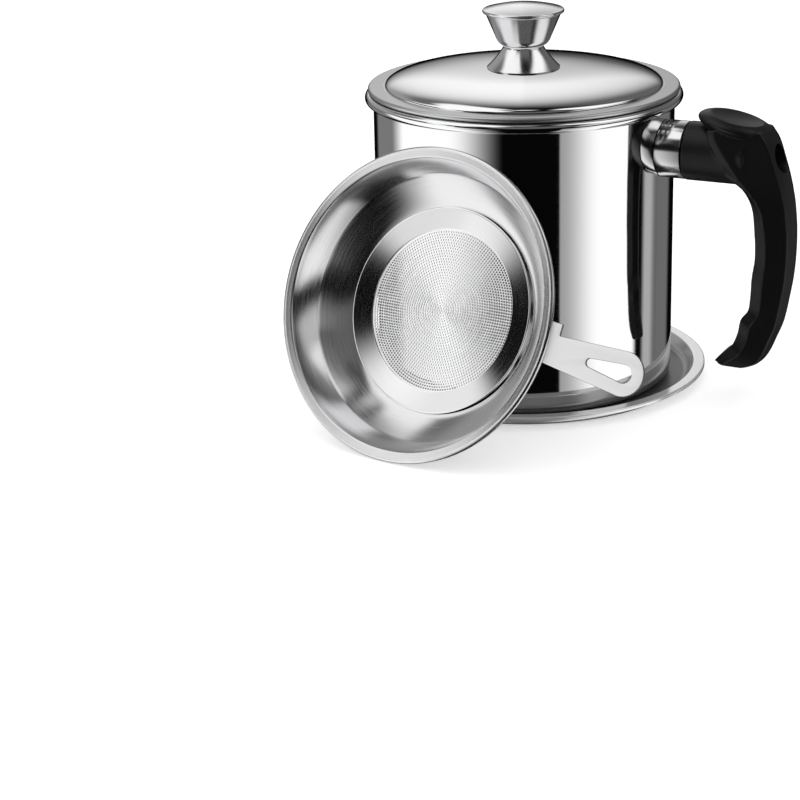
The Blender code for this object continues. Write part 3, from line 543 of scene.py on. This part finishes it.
# %% Pot
POT_RADIUS, POT_BORE, POT_BASE, POT_FLOOR = 62.5 * MM, 61.7 * MM, 1.1 * MM, 0.8 * MM
BEAD_TUBE, BEAD_CENTRE, BEAD_HEIGHT = 2.15 * MM, 63.85 * MM, 121.05 * MM
FLAT_RADIUS, FOOT_RADIUS, BORE_FOOT_RADIUS = 57.5 * MM, 4.0 * MM, 3.2 * MM
join_deg = degrees(acos((POT_RADIUS - BEAD_CENTRE) / BEAD_TUBE))
join_height = BEAD_HEIGHT - BEAD_TUBE * sin(radians(join_deg))
bend_height, wall_foot = POT_BASE + 4.0 * MM, POT_BASE + 5.0 * MM
pot = corners((0.0, POT_BASE + POT_FLOOR), (FLAT_RADIUS, POT_BASE + POT_FLOOR))
pot += arc((POT_BORE - BORE_FOOT_RADIUS, bend_height), BORE_FOOT_RADIUS, -90, 0, 10)
pot += corners((POT_BORE, wall_foot), (POT_BORE, BEAD_HEIGHT - 1.0 * MM))
pot += arc((BEAD_CENTRE, BEAD_HEIGHT), BEAD_TUBE, 180, -join_deg, 30)
pot += corners((POT_RADIUS, join_height - 0.3 * MM), (POT_RADIUS, wall_foot))
pot += arc((POT_RADIUS - FOOT_RADIUS, bend_height), FOOT_RADIUS, 0, -90, 12)
pot += corners((FLAT_RADIUS, POT_BASE), (0.0, POT_BASE))
add_turned("pot_drawn", pot, POT_STEEL, "pot", "pot_shell", closed=False)

# %% [markdown]
# ## Lid and skirt
# The lid is a low dome, flat in the middle and steep near its edge, on a flat flange
# whose outer edge is rolled. The skirt is a ring welded under it that centres the
# lid in the pot.

# %% Lid
FLANGE_TOP, LID_SHEET = 125.6 * MM, 0.8 * MM
FLANGE_UNDER = FLANGE_TOP - LID_SHEET
EDGE_CENTRE, EDGE_TUBE = (63.65 * MM, 124.55 * MM), 1.05 * MM
DOME_RISE, DOME_FLATNESS, KNOB_HOLE = 5.8 * MM, 4, 2.8 * MM


def dome_line(edge_radius, edge_height, steps=40):
    """The dome's side view, from the knob's hole to its edge."""
    points = []
    for step in range(steps + 1):
        share = sin(step / steps * pi / 2)
        radius = KNOB_HOLE + (edge_radius - KNOB_HOLE) * share
        fall = sqrt(max(1 - (radius / edge_radius) ** DOME_FLATNESS, 0.0))
        points.append(Vector((radius, edge_height + DOME_RISE * fall)))
    return points


tuck_deg = degrees(asin((FLANGE_UNDER - EDGE_CENTRE[1]) / EDGE_TUBE))
lid = dome_line(57.7 * MM, FLANGE_TOP)
lid += corners((57.95 * MM, FLANGE_TOP), (62.9 * MM, FLANGE_TOP))
lid += arc(EDGE_CENTRE, EDGE_TUBE, 90, -180 - tuck_deg, 24)
lid += corners((57.2 * MM, FLANGE_UNDER))
lid += list(reversed(dome_line(56.9 * MM, FLANGE_UNDER)))
add_turned("lid_domed", lid, LID_STEEL, "lid", "lid_shell")

# %% Lid skirt
skirt = fillet(metres((57.5, 124.5, 0), (61.1, 124.5, 0.4), (61.1, 115.0, 0.2),
                      (60.3, 115.0, 0.2), (60.3, 123.7, 0.2), (57.5, 123.7, 0)))
add_turned("lid_skirt_ring", skirt, ROLLED_SHEET, "lid", "lid_skirt")

# %% [markdown]
# ## Knob
# The knob is three thin pressings on a threaded core: a flared foot, a cup that
# opens upwards and a crowned disc with a rolled edge.

# %% Knob
KNOB_FACETS, KNOB_SHEET, KNOB_BORE = 160, 0.8 * MM, 4.9 * MM
FOOT_BASE, FOOT_TOP, FOOT_REACH = 131.7 * MM, 141.4 * MM, 15.1 * MM
flare = curve_through((8.4 * MM, FOOT_TOP - 0.5 * MM), (10.95 * MM, 136.55 * MM),
                      (FOOT_REACH, FOOT_BASE + 0.9 * MM), 24)
foot = corners((KNOB_BORE, FOOT_TOP), (7.9 * MM, FOOT_TOP))
foot += arc((7.9 * MM, FOOT_TOP - 0.5 * MM), 0.5 * MM, 60, 20, 3)
foot += flare + corners((FOOT_REACH, FOOT_BASE + 0.15 * MM), (14.95 * MM, FOOT_BASE),
                        (14.3 * MM, FOOT_BASE), (14.3 * MM, FOOT_BASE + 0.9 * MM))
foot += list(reversed(shifted(flare, KNOB_SHEET)[1:-1]))
foot += corners((7.6 * MM, FOOT_TOP - KNOB_SHEET), (KNOB_BORE, FOOT_TOP - KNOB_SHEET))
add_turned("knob_foot_flared", foot, KNOB_STEEL, "lid", "knob_foot",
           KNOB_FACETS)

CUP_BASE, CUP_TOP = 141.7 * MM, 154.7 * MM
cup_wall = corners((15.6 * MM, CUP_TOP), (15.5 * MM, CUP_TOP - 0.25 * MM),
                   (11.25 * MM, CUP_BASE + 2.75 * MM))
cup_wall += curve_through((11.1 * MM, CUP_BASE + 2.4 * MM), (10.1 * MM, CUP_BASE + 0.3 * MM),
                          (8.6 * MM, CUP_BASE), 14)
cup = cup_wall + corners((KNOB_BORE, CUP_BASE), (KNOB_BORE, CUP_BASE + KNOB_SHEET),
                         (7.6 * MM, CUP_BASE + KNOB_SHEET))
cup += list(reversed(shifted(cup_wall, KNOB_SHEET)[1:-1])) + corners((14.8 * MM, CUP_TOP))
add_turned("knob_cup_spun", cup, KNOB_STEEL, "lid", "knob_cup", KNOB_FACETS)

CAP_EDGE, CAP_TUBE = (16.15 * MM, 155.75 * MM), 0.75 * MM
cap = curve_through(*metres((0, 158.75), (8.075, 158.75), (16.15, 156.5)), 20)
cap += arc(CAP_EDGE, CAP_TUBE, 90, -180, 20)[1:]
cap += curve_through(*metres((15.4, 155.75), (8.075, 157.95), (0, 157.95)), 16)[1:]
add_turned("knob_top_disc", cap, KNOB_STEEL, "lid", "knob_top", KNOB_FACETS,
           closed=False)

# %% [markdown]
# ## Ferrule
# The ferrule is a short steel tube welded to the pot's wall. Its inner end follows
# the wall's curve, so that end is worked out for each of its lines rather than cut.

# %% Ferrule
AXIS_HEIGHT = 103.4 * MM
WALL_CLEAR = POT_RADIUS + 0.3 * MM
# The tube's cut in mm, as radius and place along X. The inner end lies on the wall: None is
# on it, and "near" is 0.25 mm out, a support for the shading.
FERRULE_CUT = ((11.0, None), (11.8, None), (11.8, "near"), (11.8, 72.1), (11.75, 72.3),
               (11.6, 72.4), (11.15, 72.4), (11.0, 72.3))


def ferrule_mesh(name, facets=160):
    """A tube along X whose inner end lies a small gap off the pot's wall."""
    build = bmesh.new()
    lines = []
    for i in range(facets):
        turn = 2 * pi * i / facets
        line = []
        for radius, reach in FERRULE_CUT:
            y = radius * MM * sin(turn)
            start = sqrt(WALL_CLEAR ** 2 - y ** 2)
            x = start if reach is None else start + 0.25 * MM if reach == "near" else reach * MM
            line.append(build.verts.new((x, y, AXIS_HEIGHT + radius * MM * cos(turn))))
        lines.append(line)
    for here, following in zip(lines, lines[1:] + lines[:1]):
        for k in range(len(here)):
            m = (k + 1) % len(here)
            build.faces.new((here[k], here[m], following[m], following[k]))
    bmesh.ops.recalc_face_normals(build, faces=build.faces)
    return mesh_from(name, build)


add_piece("handle_ferrule_tube", ferrule_mesh("handle_ferrule_tube"), KNOB_STEEL, "pot",
          "handle_ferrule")

# %% [markdown]
# ## Grip
# The grip is one moulding: a round barrel, a bent body with finger scallops and a
# dished pad for the thumb. The bent body is a loft: rounded cuts placed along its
# side view, with more cuts in between on smooth curves. It is then melted together
# with the barrel and the pad by a voxel remesh, as a moulder's pattern would be
# faired with filler, and lightly smoothed.

# %% Grip: the lofted body
# Each cut: inner edge x and z, outer edge x and z, half width in mm, then the share of
# that half width which the inner face keeps, and the depth of the chamfer beside it.
GRIP_CUTS = (
    (83.7, 115.1, 105.9, 114.8, 12.5, 0.95, 3.0),
    (84.1, 111.3, 109.2, 109.8, 12.8, 0.95, 3.5),
    (88.6, 103.4, 111.7, 102.9, 12.8, 0.95, 4.0),
    (92.9, 95.7, 114.1, 95.7, 12.3, 0.80, 4.5),
    (97.5, 89.8, 115.8, 89.4, 11.5, 0.45, 5.0),
    (101.0, 82.9, 117.1, 82.9, 10.9, 0.42, 5.5),
    (102.3, 72.7, 118.1, 72.7, 10.4, 0.42, 6.0),
    (102.8, 62.5, 118.1, 62.5, 10.3, 0.42, 6.0),
    (101.7, 53.8, 117.5, 53.8, 10.0, 0.42, 6.0),
    (101.3, 45.5, 116.2, 45.5, 9.9, 0.42, 6.0),
    (100.5, 39.6, 115.1, 39.2, 9.8, 0.42, 5.8),
    (97.5, 35.3, 113.8, 33.8, 9.6, 0.42, 5.6),
    (96.3, 29.4, 111.5, 28.0, 9.5, 0.42, 5.4),
    (93.9, 23.6, 108.6, 21.1, 9.3, 0.42, 5.2),
    (90.0, 20.1, 104.9, 16.7, 8.8, 0.45, 4.8),
    (86.6, 16.2, 99.7, 14.6, 7.5, 0.50, 4.0),
)


def through(points, steps):
    """Rows of numbers, with more rows between them on Catmull-Rom curves."""
    rows = []
    for index in range(len(points) - 1):
        four = (points[max(index - 1, 0)], points[index], points[index + 1],
                points[min(index + 2, len(points) - 1)])
        for step in range(steps):
            t = step / steps
            rows.append(tuple(
                0.5 * (2 * b + (c - a) * t + (2 * a - 5 * b + 4 * c - d) * t ** 2
                       + (3 * b - a - 3 * c + d) * t ** 3)
                for a, b, c, d in zip(*four)))
    rows.append(tuple(points[-1]))
    return rows


def grip_section(reach, half, face, chamfer):
    """One cut as (depth, width) points in mm: chamfered inside, crowned outside."""
    turns = [(-reach, -face * half), (chamfer - reach, -half), (reach - 1.2, -0.69 * half),
             (reach - 0.3, -0.35 * half), (reach, 0.0)]
    turns += [(x, -y) for x, y in reversed(turns[:-1])]
    points = []
    for (x0, y0), (x1, y1) in zip(turns, turns[1:] + turns[:1]):
        points += [(x0 + (x1 - x0) * k / 6, y0 + (y1 - y0) * k / 6) for k in range(6)]
    return points


def grip_body():
    """The bent body, as a skin over its cuts."""
    build = bmesh.new()
    rings = []
    for xi, zi, xo, zo, half, face, chamfer in through(GRIP_CUTS, 8):
        inner, outer = Vector((xi, 0.0, zi)) * MM, Vector((xo, 0.0, zo)) * MM
        middle, deep = (inner + outer) / 2, (outer - inner).normalized()
        section = grip_section((outer - inner).length / 2 / MM, half, face, chamfer)
        rings.append([build.verts.new(middle + deep * x * MM + Vector((0.0, y * MM, 0.0)))
                      for x, y in section])
    count = len(rings[0])
    for upper, lower in zip(rings, rings[1:]):
        for i in range(count):
            j = (i + 1) % count
            build.faces.new((upper[i], upper[j], lower[j], lower[i]))
    build.faces.new(rings[0])
    build.faces.new(list(reversed(rings[-1])))
    bmesh.ops.recalc_face_normals(build, faces=build.faces)
    return build


body_build = grip_body()
print("loft", len(body_build.verts), "points")

# %% Grip: barrel, pad, dish and bores
PAD_CENTRE = Vector((92.1, 0.0, 115.8)) * MM
PAD_TURN = Matrix.Rotation(radians(12.5), 4, "Y")
PAD_HALF_MM, DISH_DEPTH_MM, DISH_RADIUS_MM = (15.6, 13.0, 4.2), 2.6, 46.0
BARREL_RADIUS, BARREL_START, BARREL_END = 12.0 * MM, 72.7 * MM, 99.0 * MM
HEAD_BORE, BORE_FLOOR, SCREW_BORE = 5.8 * MM, 100.5 * MM, 2.8 * MM
VOXEL = 0.42 * MM


def along_x(build, radius, start, end, facets=96):
    """A closed cylinder along the handle's axis."""
    middle = Matrix.Translation(((start + end) / 2, 0.0, AXIS_HEIGHT))
    bmesh.ops.create_cone(build, cap_ends=True, segments=facets, radius1=radius, radius2=radius,
                          depth=end - start, matrix=middle @ Matrix.Rotation(pi / 2, 4, "Y"))


def applied(item, name):
    """The evaluated mesh of an object with modifiers; the object itself is removed."""
    bpy.context.view_layer.update()
    graph = bpy.context.evaluated_depsgraph_get()
    mesh = bpy.data.meshes.new_from_object(item.evaluated_get(graph))
    mesh.name = name
    bpy.data.objects.remove(item, do_unlink=True)
    return mesh


along_x(body_build, BARREL_RADIUS, BARREL_START, BARREL_END)
bmesh.ops.create_uvsphere(
    body_build, u_segments=64, v_segments=40, radius=1.0,
    matrix=Matrix.Translation(PAD_CENTRE) @ PAD_TURN @ Matrix.Diagonal(
        (*(half * MM for half in PAD_HALF_MM), 1.0)))
grip = new_object("grip_pattern", mesh_from("grip_pattern", body_build))
melt = grip.modifiers.new("melt", "REMESH")
melt.mode = "VOXEL"
melt.voxel_size = VOXEL
fair = grip.modifiers.new("fair", "SMOOTH")
fair.factor = 0.5
fair.iterations = 4

dish_build, head_build, screw_build = bmesh.new(), bmesh.new(), bmesh.new()
bmesh.ops.create_icosphere(
    dish_build, subdivisions=6, radius=DISH_RADIUS_MM * MM,
    matrix=Matrix.Translation(PAD_CENTRE) @ PAD_TURN @ Matrix.Translation(
        (0.0, 0.0, (PAD_HALF_MM[2] - DISH_DEPTH_MM + DISH_RADIUS_MM) * MM)))
along_x(head_build, HEAD_BORE, BORE_FLOOR, 130.0 * MM)          # out past the grip
along_x(screw_build, SCREW_BORE, 60.0 * MM, BORE_FLOOR + 0.5 * MM)
cutters = [new_object(name, mesh_from(name, build)) for name, build in (
    ("dish_cut", dish_build), ("head_bore_cut", head_build), ("screw_bore_cut", screw_build))]
for cutter in cutters:
    cut = grip.modifiers.new(cutter.name, "BOOLEAN")
    cut.operation = "DIFFERENCE"
    cut.solver = "EXACT"
    cut.object = cutter
grip_mesh = applied(grip, "handle_grip_moulded")
for cutter in cutters:
    bpy.data.objects.remove(cutter, do_unlink=True)
add_piece("handle_grip_moulded", grip_mesh, PHENOLIC, "pot", "handle_grip",
          sharp_deg=40)

# %% [markdown]
# ## Strainer
# The strainer stands on its rolled edge and leans on the pot. It is made level about
# its own mouth and then carried to its place by one matrix, as the CAD does. The
# dish is spun, the ring and the flat handle are pressed.

# %% Strainer: place and spun steel
STRAINER_PLACE = Vector((-4.3929, -100.6144, 58.4412)) * MM
STRAINER_TURN = -radians(90 + 2.5 + 6.5)     # its bearing from the pot, and a turn more
STRAINER_LEAN = radians(22.0)
facing = Vector((cos(STRAINER_TURN) * cos(STRAINER_LEAN),
                 sin(STRAINER_TURN) * cos(STRAINER_LEAN), sin(STRAINER_LEAN)))
side = Vector((-sin(STRAINER_TURN), cos(STRAINER_TURN), 0.0))
seat = Matrix.Translation(STRAINER_PLACE) @ Matrix(
    (side, facing.cross(side), facing)).transposed().to_4x4()


def spun_steel(name, colour, gloss, bump, stretch=0.0):
    """Spun steel: tool lines run round the dish's axis, about 0.5 mm apart, and a stretch
    draws each highlight out across them."""
    material, tree, shader = new_material(name, {
        "Base Color": srgb(colour), "Metallic": 1.0, "Anisotropic": stretch})
    place = add_node(tree, "ShaderNodeTexCoord").outputs["Object"]
    local = add_node(tree, "ShaderNodeMapping", vector_type="TEXTURE", inputs={
        "Vector": place, "Location": STRAINER_PLACE, "Rotation": seat.to_euler()})
    axes = add_node(tree, "ShaderNodeSeparateXYZ", (local,)).outputs
    flat = add_node(tree, "ShaderNodeVectorMath", (local, (1.0, 1.0, 0.0)),
                    operation="MULTIPLY")
    reach = add_node(tree, "ShaderNodeVectorMath", (flat,), operation="LENGTH")
    turn = add_node(tree, "ShaderNodeMath", (axes["Y"], axes["X"]), operation="ARCTAN2")
    scaled = [add_node(tree, "ShaderNodeMath", (part, scale), operation="MULTIPLY")
              for part, scale in ((reach.outputs["Value"], 1 / (0.5 * MM)), (turn, 3.0),
                                  (axes["Z"], 1 / (0.6 * MM)))]
    lines = add_node(tree, "ShaderNodeCombineXYZ", scaled)
    add_grain(tree, shader, lines, bump, gloss, depth_mm=0.03, breakup=0.6)
    if stretch:
        across = add_node(tree, "ShaderNodeMapping", vector_type="VECTOR", inputs={
            "Vector": flat, "Rotation": seat.to_euler()})
        tree.links.new(across.outputs[0], shader.inputs["Tangent"])
    return material


# The dish: spun on a former and left satin. The ring: pressed, and bright from its die.
SPUN_STEEL = spun_steel("stainless_steel_spun_satin", "#dadadb", (0.17, 0.25), 0.25, 0.8)
RING_STEEL = spun_steel("stainless_steel_pressed_polished", "#e7e7e8", (0.08, 0.12), 0.02)
print("strainer faces", [round(v, 3) for v in facing])

# %% Strainer: dish
BOWL_DEPTH, BOWL_SHEET, LEDGE_TOP, DISH_HOLE = 23.5 * MM, 0.7 * MM, -22.8 * MM, 35.8 * MM
ROLL_CENTRE, ROLL_TUBE = (61.10 * MM, -1.1 * MM), 1.1 * MM
inside = corners(*metres((60.2, -0.08), (58.8, -0.28)))                              # flange
inside += curve_through(*metres((58.2, -0.36), (57.8, -0.45), (57.75, -1.1)), 6)     # mouth
inside += curve_through(*metres((57.7, -1.3), (57.0, -6.6), (53.6, -12.5)), 14)      # side
inside += curve_through(*metres((53.55, -12.6), (45.1, -22.1), (41.6, -22.8)), 18)   # base
tuck = degrees(asin((ROLL_TUBE - BOWL_SHEET) / ROLL_TUBE))
dish_line = corners((DISH_HOLE, LEDGE_TOP)) + list(reversed(inside))
dish_line += corners((60.6 * MM, 0.0)) + arc(ROLL_CENTRE, ROLL_TUBE, 90, -180 - tuck, 24)
dish_line += corners(*metres((60.0, -0.8), (58.9, -0.98)))
dish_line += [point for point in shifted(inside, -BOWL_SHEET)
              if -BOWL_DEPTH + 0.05 * MM < point.y < -1.4 * MM]
dish_line += corners((42.0 * MM, -BOWL_DEPTH), (DISH_HOLE, -BOWL_DEPTH))
add_turned("strainer_dish_spun", dish_line, SPUN_STEEL, "strainer",
           "strainer_bowl", place=seat)

# %% Strainer: clamp ring
ring_line = fillet(metres(
    (32.6, -21.3, 0), (32.6, -20.9, 0.15), (41.3, -19.4, 0.5), (41.3, -22.5, 0.1),
    (40.5, -22.5, 0.1), (40.5, -20.2, 0.2), (32.6, -21.7, 0.15), (32.6, -21.3, 0)))
add_turned("filter_ring_pressed", ring_line, RING_STEEL, "strainer",
           "filter_ring", place=seat)

# %% [markdown]
# ## Filter plate
# The filter is a thin disc with some 2,600 holes in rings: six holes in the first
# ring, twelve in the second, and so on. That rule suits Geometry Nodes. A spiral
# index runs over all holes, each finds its ring and its turn from it, a small circle
# is put there, and Fill Curve makes the sheet with its holes in one go. The sums are
# kept as a list, because their nodes differ in nothing but operation and terms.

# %% Filter plate: sizes and sums
PLATE_SIZES = {"Radius": 40.2 * MM, "Thickness": 0.5 * MM, "Pitch": 1.09 * MM,
               "Hole Radius": 0.43 * MM, "Rings": 29}
PLATE_UNDER, WELD_GAP = -22.5 * MM, 0.002 * MM
# One Math node each: result, operation, terms. Hole i lies in ring n where
# 3 n (n - 1) < i <= 3 n (n + 1), so n is the whole part of sqrt(12 i - 3) / 6 + 1 / 2.
# The 0.0001 more keeps the first hole of a ring from falling into the ring before.
HOLE_SUMS = (
    ("next ring", "ADD", "Rings", 1.0),
    ("ring pairs", "MULTIPLY", "Rings", "next ring"),
    ("count", "MULTIPLY_ADD", "ring pairs", 3.0, 1.0),
    ("from one", "MAXIMUM", "i", 1.0),
    ("square", "MULTIPLY_ADD", "from one", 12.0, -3.0),
    ("root", "SQRT", "square"),
    ("raised", "MULTIPLY_ADD", "root", 1 / 6, 0.5001),
    ("whole", "FLOOR", "raised"),
    ("off centre", "MINIMUM", "i", 1.0),
    ("n", "MULTIPLY", "off centre", "whole"),
    ("n before", "SUBTRACT", "n", 1.0),
    ("n pairs", "MULTIPLY", "n", "n before"),
    ("i before", "SUBTRACT", "i", 1.0),
    ("step", "MULTIPLY_ADD", "n pairs", -3.0, "i before"),
    ("steps round", "MULTIPLY", "n", 6.0),
    ("share", "MAXIMUM", "steps round", 1.0),
    ("full turns", "MULTIPLY", "step", 2 * pi),
    ("turn", "DIVIDE", "full turns", "share"),
    ("reach", "MULTIPLY", "n", "Pitch"),
    ("cosine", "COSINE", "turn"),
    ("sine", "SINE", "turn"),
    ("x", "MULTIPLY", "reach", "cosine"),
    ("y", "MULTIPLY", "reach", "sine"),
)
PLATE_STEEL = spun_steel("stainless_steel_perforated_sheet", "#ececec", (0.17, 0.24), 0.03, 0.9)
print(len(HOLE_SUMS), "sums place each hole")

# %% Filter plate: tree
def filter_tree():
    """A disc with rings of holes, from PLATE_SIZES."""
    tree = bpy.data.node_groups.new("perforated_disc", "GeometryNodeTree")
    for name, value in PLATE_SIZES.items():
        kind = "NodeSocketInt" if isinstance(value, int) else "NodeSocketFloat"
        tree.interface.new_socket(name=name, in_out="INPUT", socket_type=kind)
    tree.interface.new_socket(name="Geometry", in_out="OUTPUT",
                              socket_type="NodeSocketGeometry")
    sizes = add_node(tree, "NodeGroupInput").outputs
    known = {**dict(sizes.items()), "i": add_node(tree, "GeometryNodeInputIndex")}
    for name, operation, *terms in HOLE_SUMS:
        known[name] = add_node(tree, "ShaderNodeMath", [known.get(t, t) for t in terms],
                               operation=operation)
    spot = add_node(tree, "ShaderNodeCombineXYZ", (known["x"], known["y"]))
    points = add_node(tree, "GeometryNodePoints", {"Count": known["count"]})
    placed = add_node(tree, "GeometryNodeSetPosition", {"Geometry": points, "Position": spot})
    circle = add_node(tree, "GeometryNodeCurvePrimitiveCircle", mode="RADIUS",
                      inputs={"Resolution": 8, "Radius": sizes["Hole Radius"]})
    holes = add_node(tree, "GeometryNodeInstanceOnPoints",
                     {"Points": placed, "Instance": circle})
    loose = add_node(tree, "GeometryNodeRealizeInstances", (holes,))
    rim = add_node(tree, "GeometryNodeCurvePrimitiveCircle", mode="RADIUS",
                   inputs={"Resolution": 160, "Radius": sizes["Radius"]})
    both = add_node(tree, "GeometryNodeJoinGeometry", {"Geometry": [loose, rim]})
    sheet = add_node(tree, "GeometryNodeFillCurve", {"Curve": both}, mode="TRIANGLES")
    raised = add_node(tree, "GeometryNodeExtrudeMesh", {
        "Mesh": sheet, "Offset Scale": sizes["Thickness"], "Individual": False})
    under = add_node(tree, "GeometryNodeFlipFaces", {"Mesh": sheet})
    closed = add_node(tree, "GeometryNodeJoinGeometry", {"Geometry": [raised, under]})
    welded = add_node(tree, "GeometryNodeMergeByDistance",
                      {"Geometry": closed, "Distance": WELD_GAP})
    real = add_node(tree, "GeometryNodeRealizeInstances", (welded,))
    finished = add_node(tree, "GeometryNodeSetMaterial",
                        {"Geometry": real, "Material": PLATE_STEEL})
    add_node(tree, "NodeGroupOutput", (finished,))
    return tree


plate_tree = filter_tree()
print("perforated disc:", len(plate_tree.nodes), "nodes")

# %% Filter plate
holder = new_object("filter_holder", bpy.data.meshes.new("filter_holder"))
maker = holder.modifiers.new("perforate", "NODES")
maker.node_group = plate_tree
for item in plate_tree.interface.items_tree:
    if item.in_out == "INPUT":
        maker[item.identifier] = PLATE_SIZES[item.name]
plate_mesh = applied(holder, "filter_plate_perforated")
plate_mesh.transform(seat @ Matrix.Translation((0.0, 0.0, PLATE_UNDER)))
add_piece("filter_plate_perforated", plate_mesh, PLATE_STEEL, "strainer",
          "filter_plate", sharp_deg=30)

# %% [markdown]
# ## Flat handle
# The strainer's handle is a stamping: a tapered tongue with a round end, a hang slot
# and a small ear where it is welded on. A filled 2D curve gives its outline with the
# slot, and a small bevel takes off the stamped edge. A sheared edge is torn and darker
# than the blasted face, so its faces get a second material.

# %% Flat handle
END_X, END_RADIUS, ROOT_X, ROOT_HALF = 95.5 * MM, 8.5 * MM, 59.4 * MM, 5.5 * MM
EAR_X, EAR_Y = 65.2 * MM, 10.5 * MM
SLOT_X, SLOT_SMALL, SLOT_LARGE = END_X - 14.7 * MM, 1.7 * MM, 3.5 * MM
TAB_BEVEL, TAB_HALF_SHEET, TAB_MIDDLE = 0.3 * MM, 0.30 * MM, -3.1 * MM
TAB_BEARING = radians(-6.5)


def rounded_taper(small_x, small_radius, large_x, large_radius):
    """The outline round two unlike circles on the X axis."""
    spread = degrees(acos((small_radius - large_radius) / (large_x - small_x)))
    points = arc((large_x, 0.0), large_radius, -spread, spread, 30)
    points += arc((small_x, 0.0), small_radius, spread, 360 - spread, 24)
    return points


tab_curve = bpy.data.curves.new("strainer_tab_pattern", "CURVE")
tab_curve.dimensions = "2D"
tab_curve.fill_mode = "BOTH"
tab_curve.extrude = TAB_HALF_SHEET
tab_curve.bevel_depth = TAB_BEVEL
tab_curve.bevel_resolution = 2
tab_curve.offset = -TAB_BEVEL
tilt = degrees(asin((END_RADIUS - ROOT_HALF) / (END_X - ROOT_X)))
shoulder = ROOT_HALF + (END_RADIUS - ROOT_HALF) * (EAR_X - ROOT_X) / (END_X - ROOT_X)
outline = arc((END_X, 0.0), END_RADIUS, -90 - tilt, 90 + tilt, 40)
outline += fillet([(END_X - 1 * MM, END_RADIUS, 0), (EAR_X, shoulder, 0.6 * MM),
                   (EAR_X, EAR_Y, 0.4 * MM), (ROOT_X, EAR_Y, 0.4 * MM),
                   (ROOT_X, -ROOT_HALF, 0)], steps=4)[1:]
for points in (outline, rounded_taper(SLOT_X, SLOT_SMALL, END_X, SLOT_LARGE)):
    spline = tab_curve.splines.new("POLY")
    spline.points.add(len(points) - 1)
    for point, spot in zip(spline.points, points):
        point.co = (spot.x, spot.y, 0.0, 1.0)
    spline.use_cyclic_u = True
tab_mesh = applied(new_object("strainer_tab_pattern", tab_curve), "strainer_tab_stamped")
weld = bmesh.new()
weld.from_mesh(tab_mesh)
bmesh.ops.remove_doubles(weld, verts=weld.verts, dist=WELD_GAP)
bmesh.ops.recalc_face_normals(weld, faces=weld.faces)
weld.to_mesh(tab_mesh)
weld.free()
tab_mesh.transform(seat @ Matrix.Translation((0.0, 0.0, TAB_MIDDLE))
                   @ Matrix.Rotation(TAB_BEARING, 4, "Z"))
add_piece("strainer_tab_stamped", tab_mesh, BLASTED_STEEL, "strainer",
          "strainer_tab")

# %% Flat handle: its sheared edge
tab_mesh.materials.append(SHEARED_STEEL)
for face in tab_mesh.polygons:
    face.material_index = int(abs(face.normal.dot(facing)) < 0.9)
print("sheared faces:", sum(face.material_index for face in tab_mesh.polygons))

# %% What the steel doesn't mirror
# The photographed steel mirrors only the studio, so these pieces stay out of reflections.
for name in ("strainer_dish_spun", "filter_ring_pressed", "filter_plate_perforated",
             "strainer_tab_stamped", "knob_foot_flared", "knob_cup_spun", "knob_top_disc"):
    bpy.data.objects[name].visible_glossy = False
print("the strainer and the knob are not mirrored by the pot and the lid")

# %% [markdown]
# ## Screws and hidden fittings
# The screws, the split washers, the knob's core and the weld stud are small and
# mostly hidden. Their CAD shapes are right, so they stay and only get their plating.

# %% Fittings
for name in ("knob_bush", "knob_washer", "knob_screw", "handle_boss", "handle_washer",
             "handle_screw"):
    node = NODES[name]
    for held in node.material_slots:
        held.material = ZINC
    # the knob's core must not show in the dome either, where the knob itself doesn't
    node.visible_glossy = not name.startswith("knob")
    print(name, "is zinc plated")
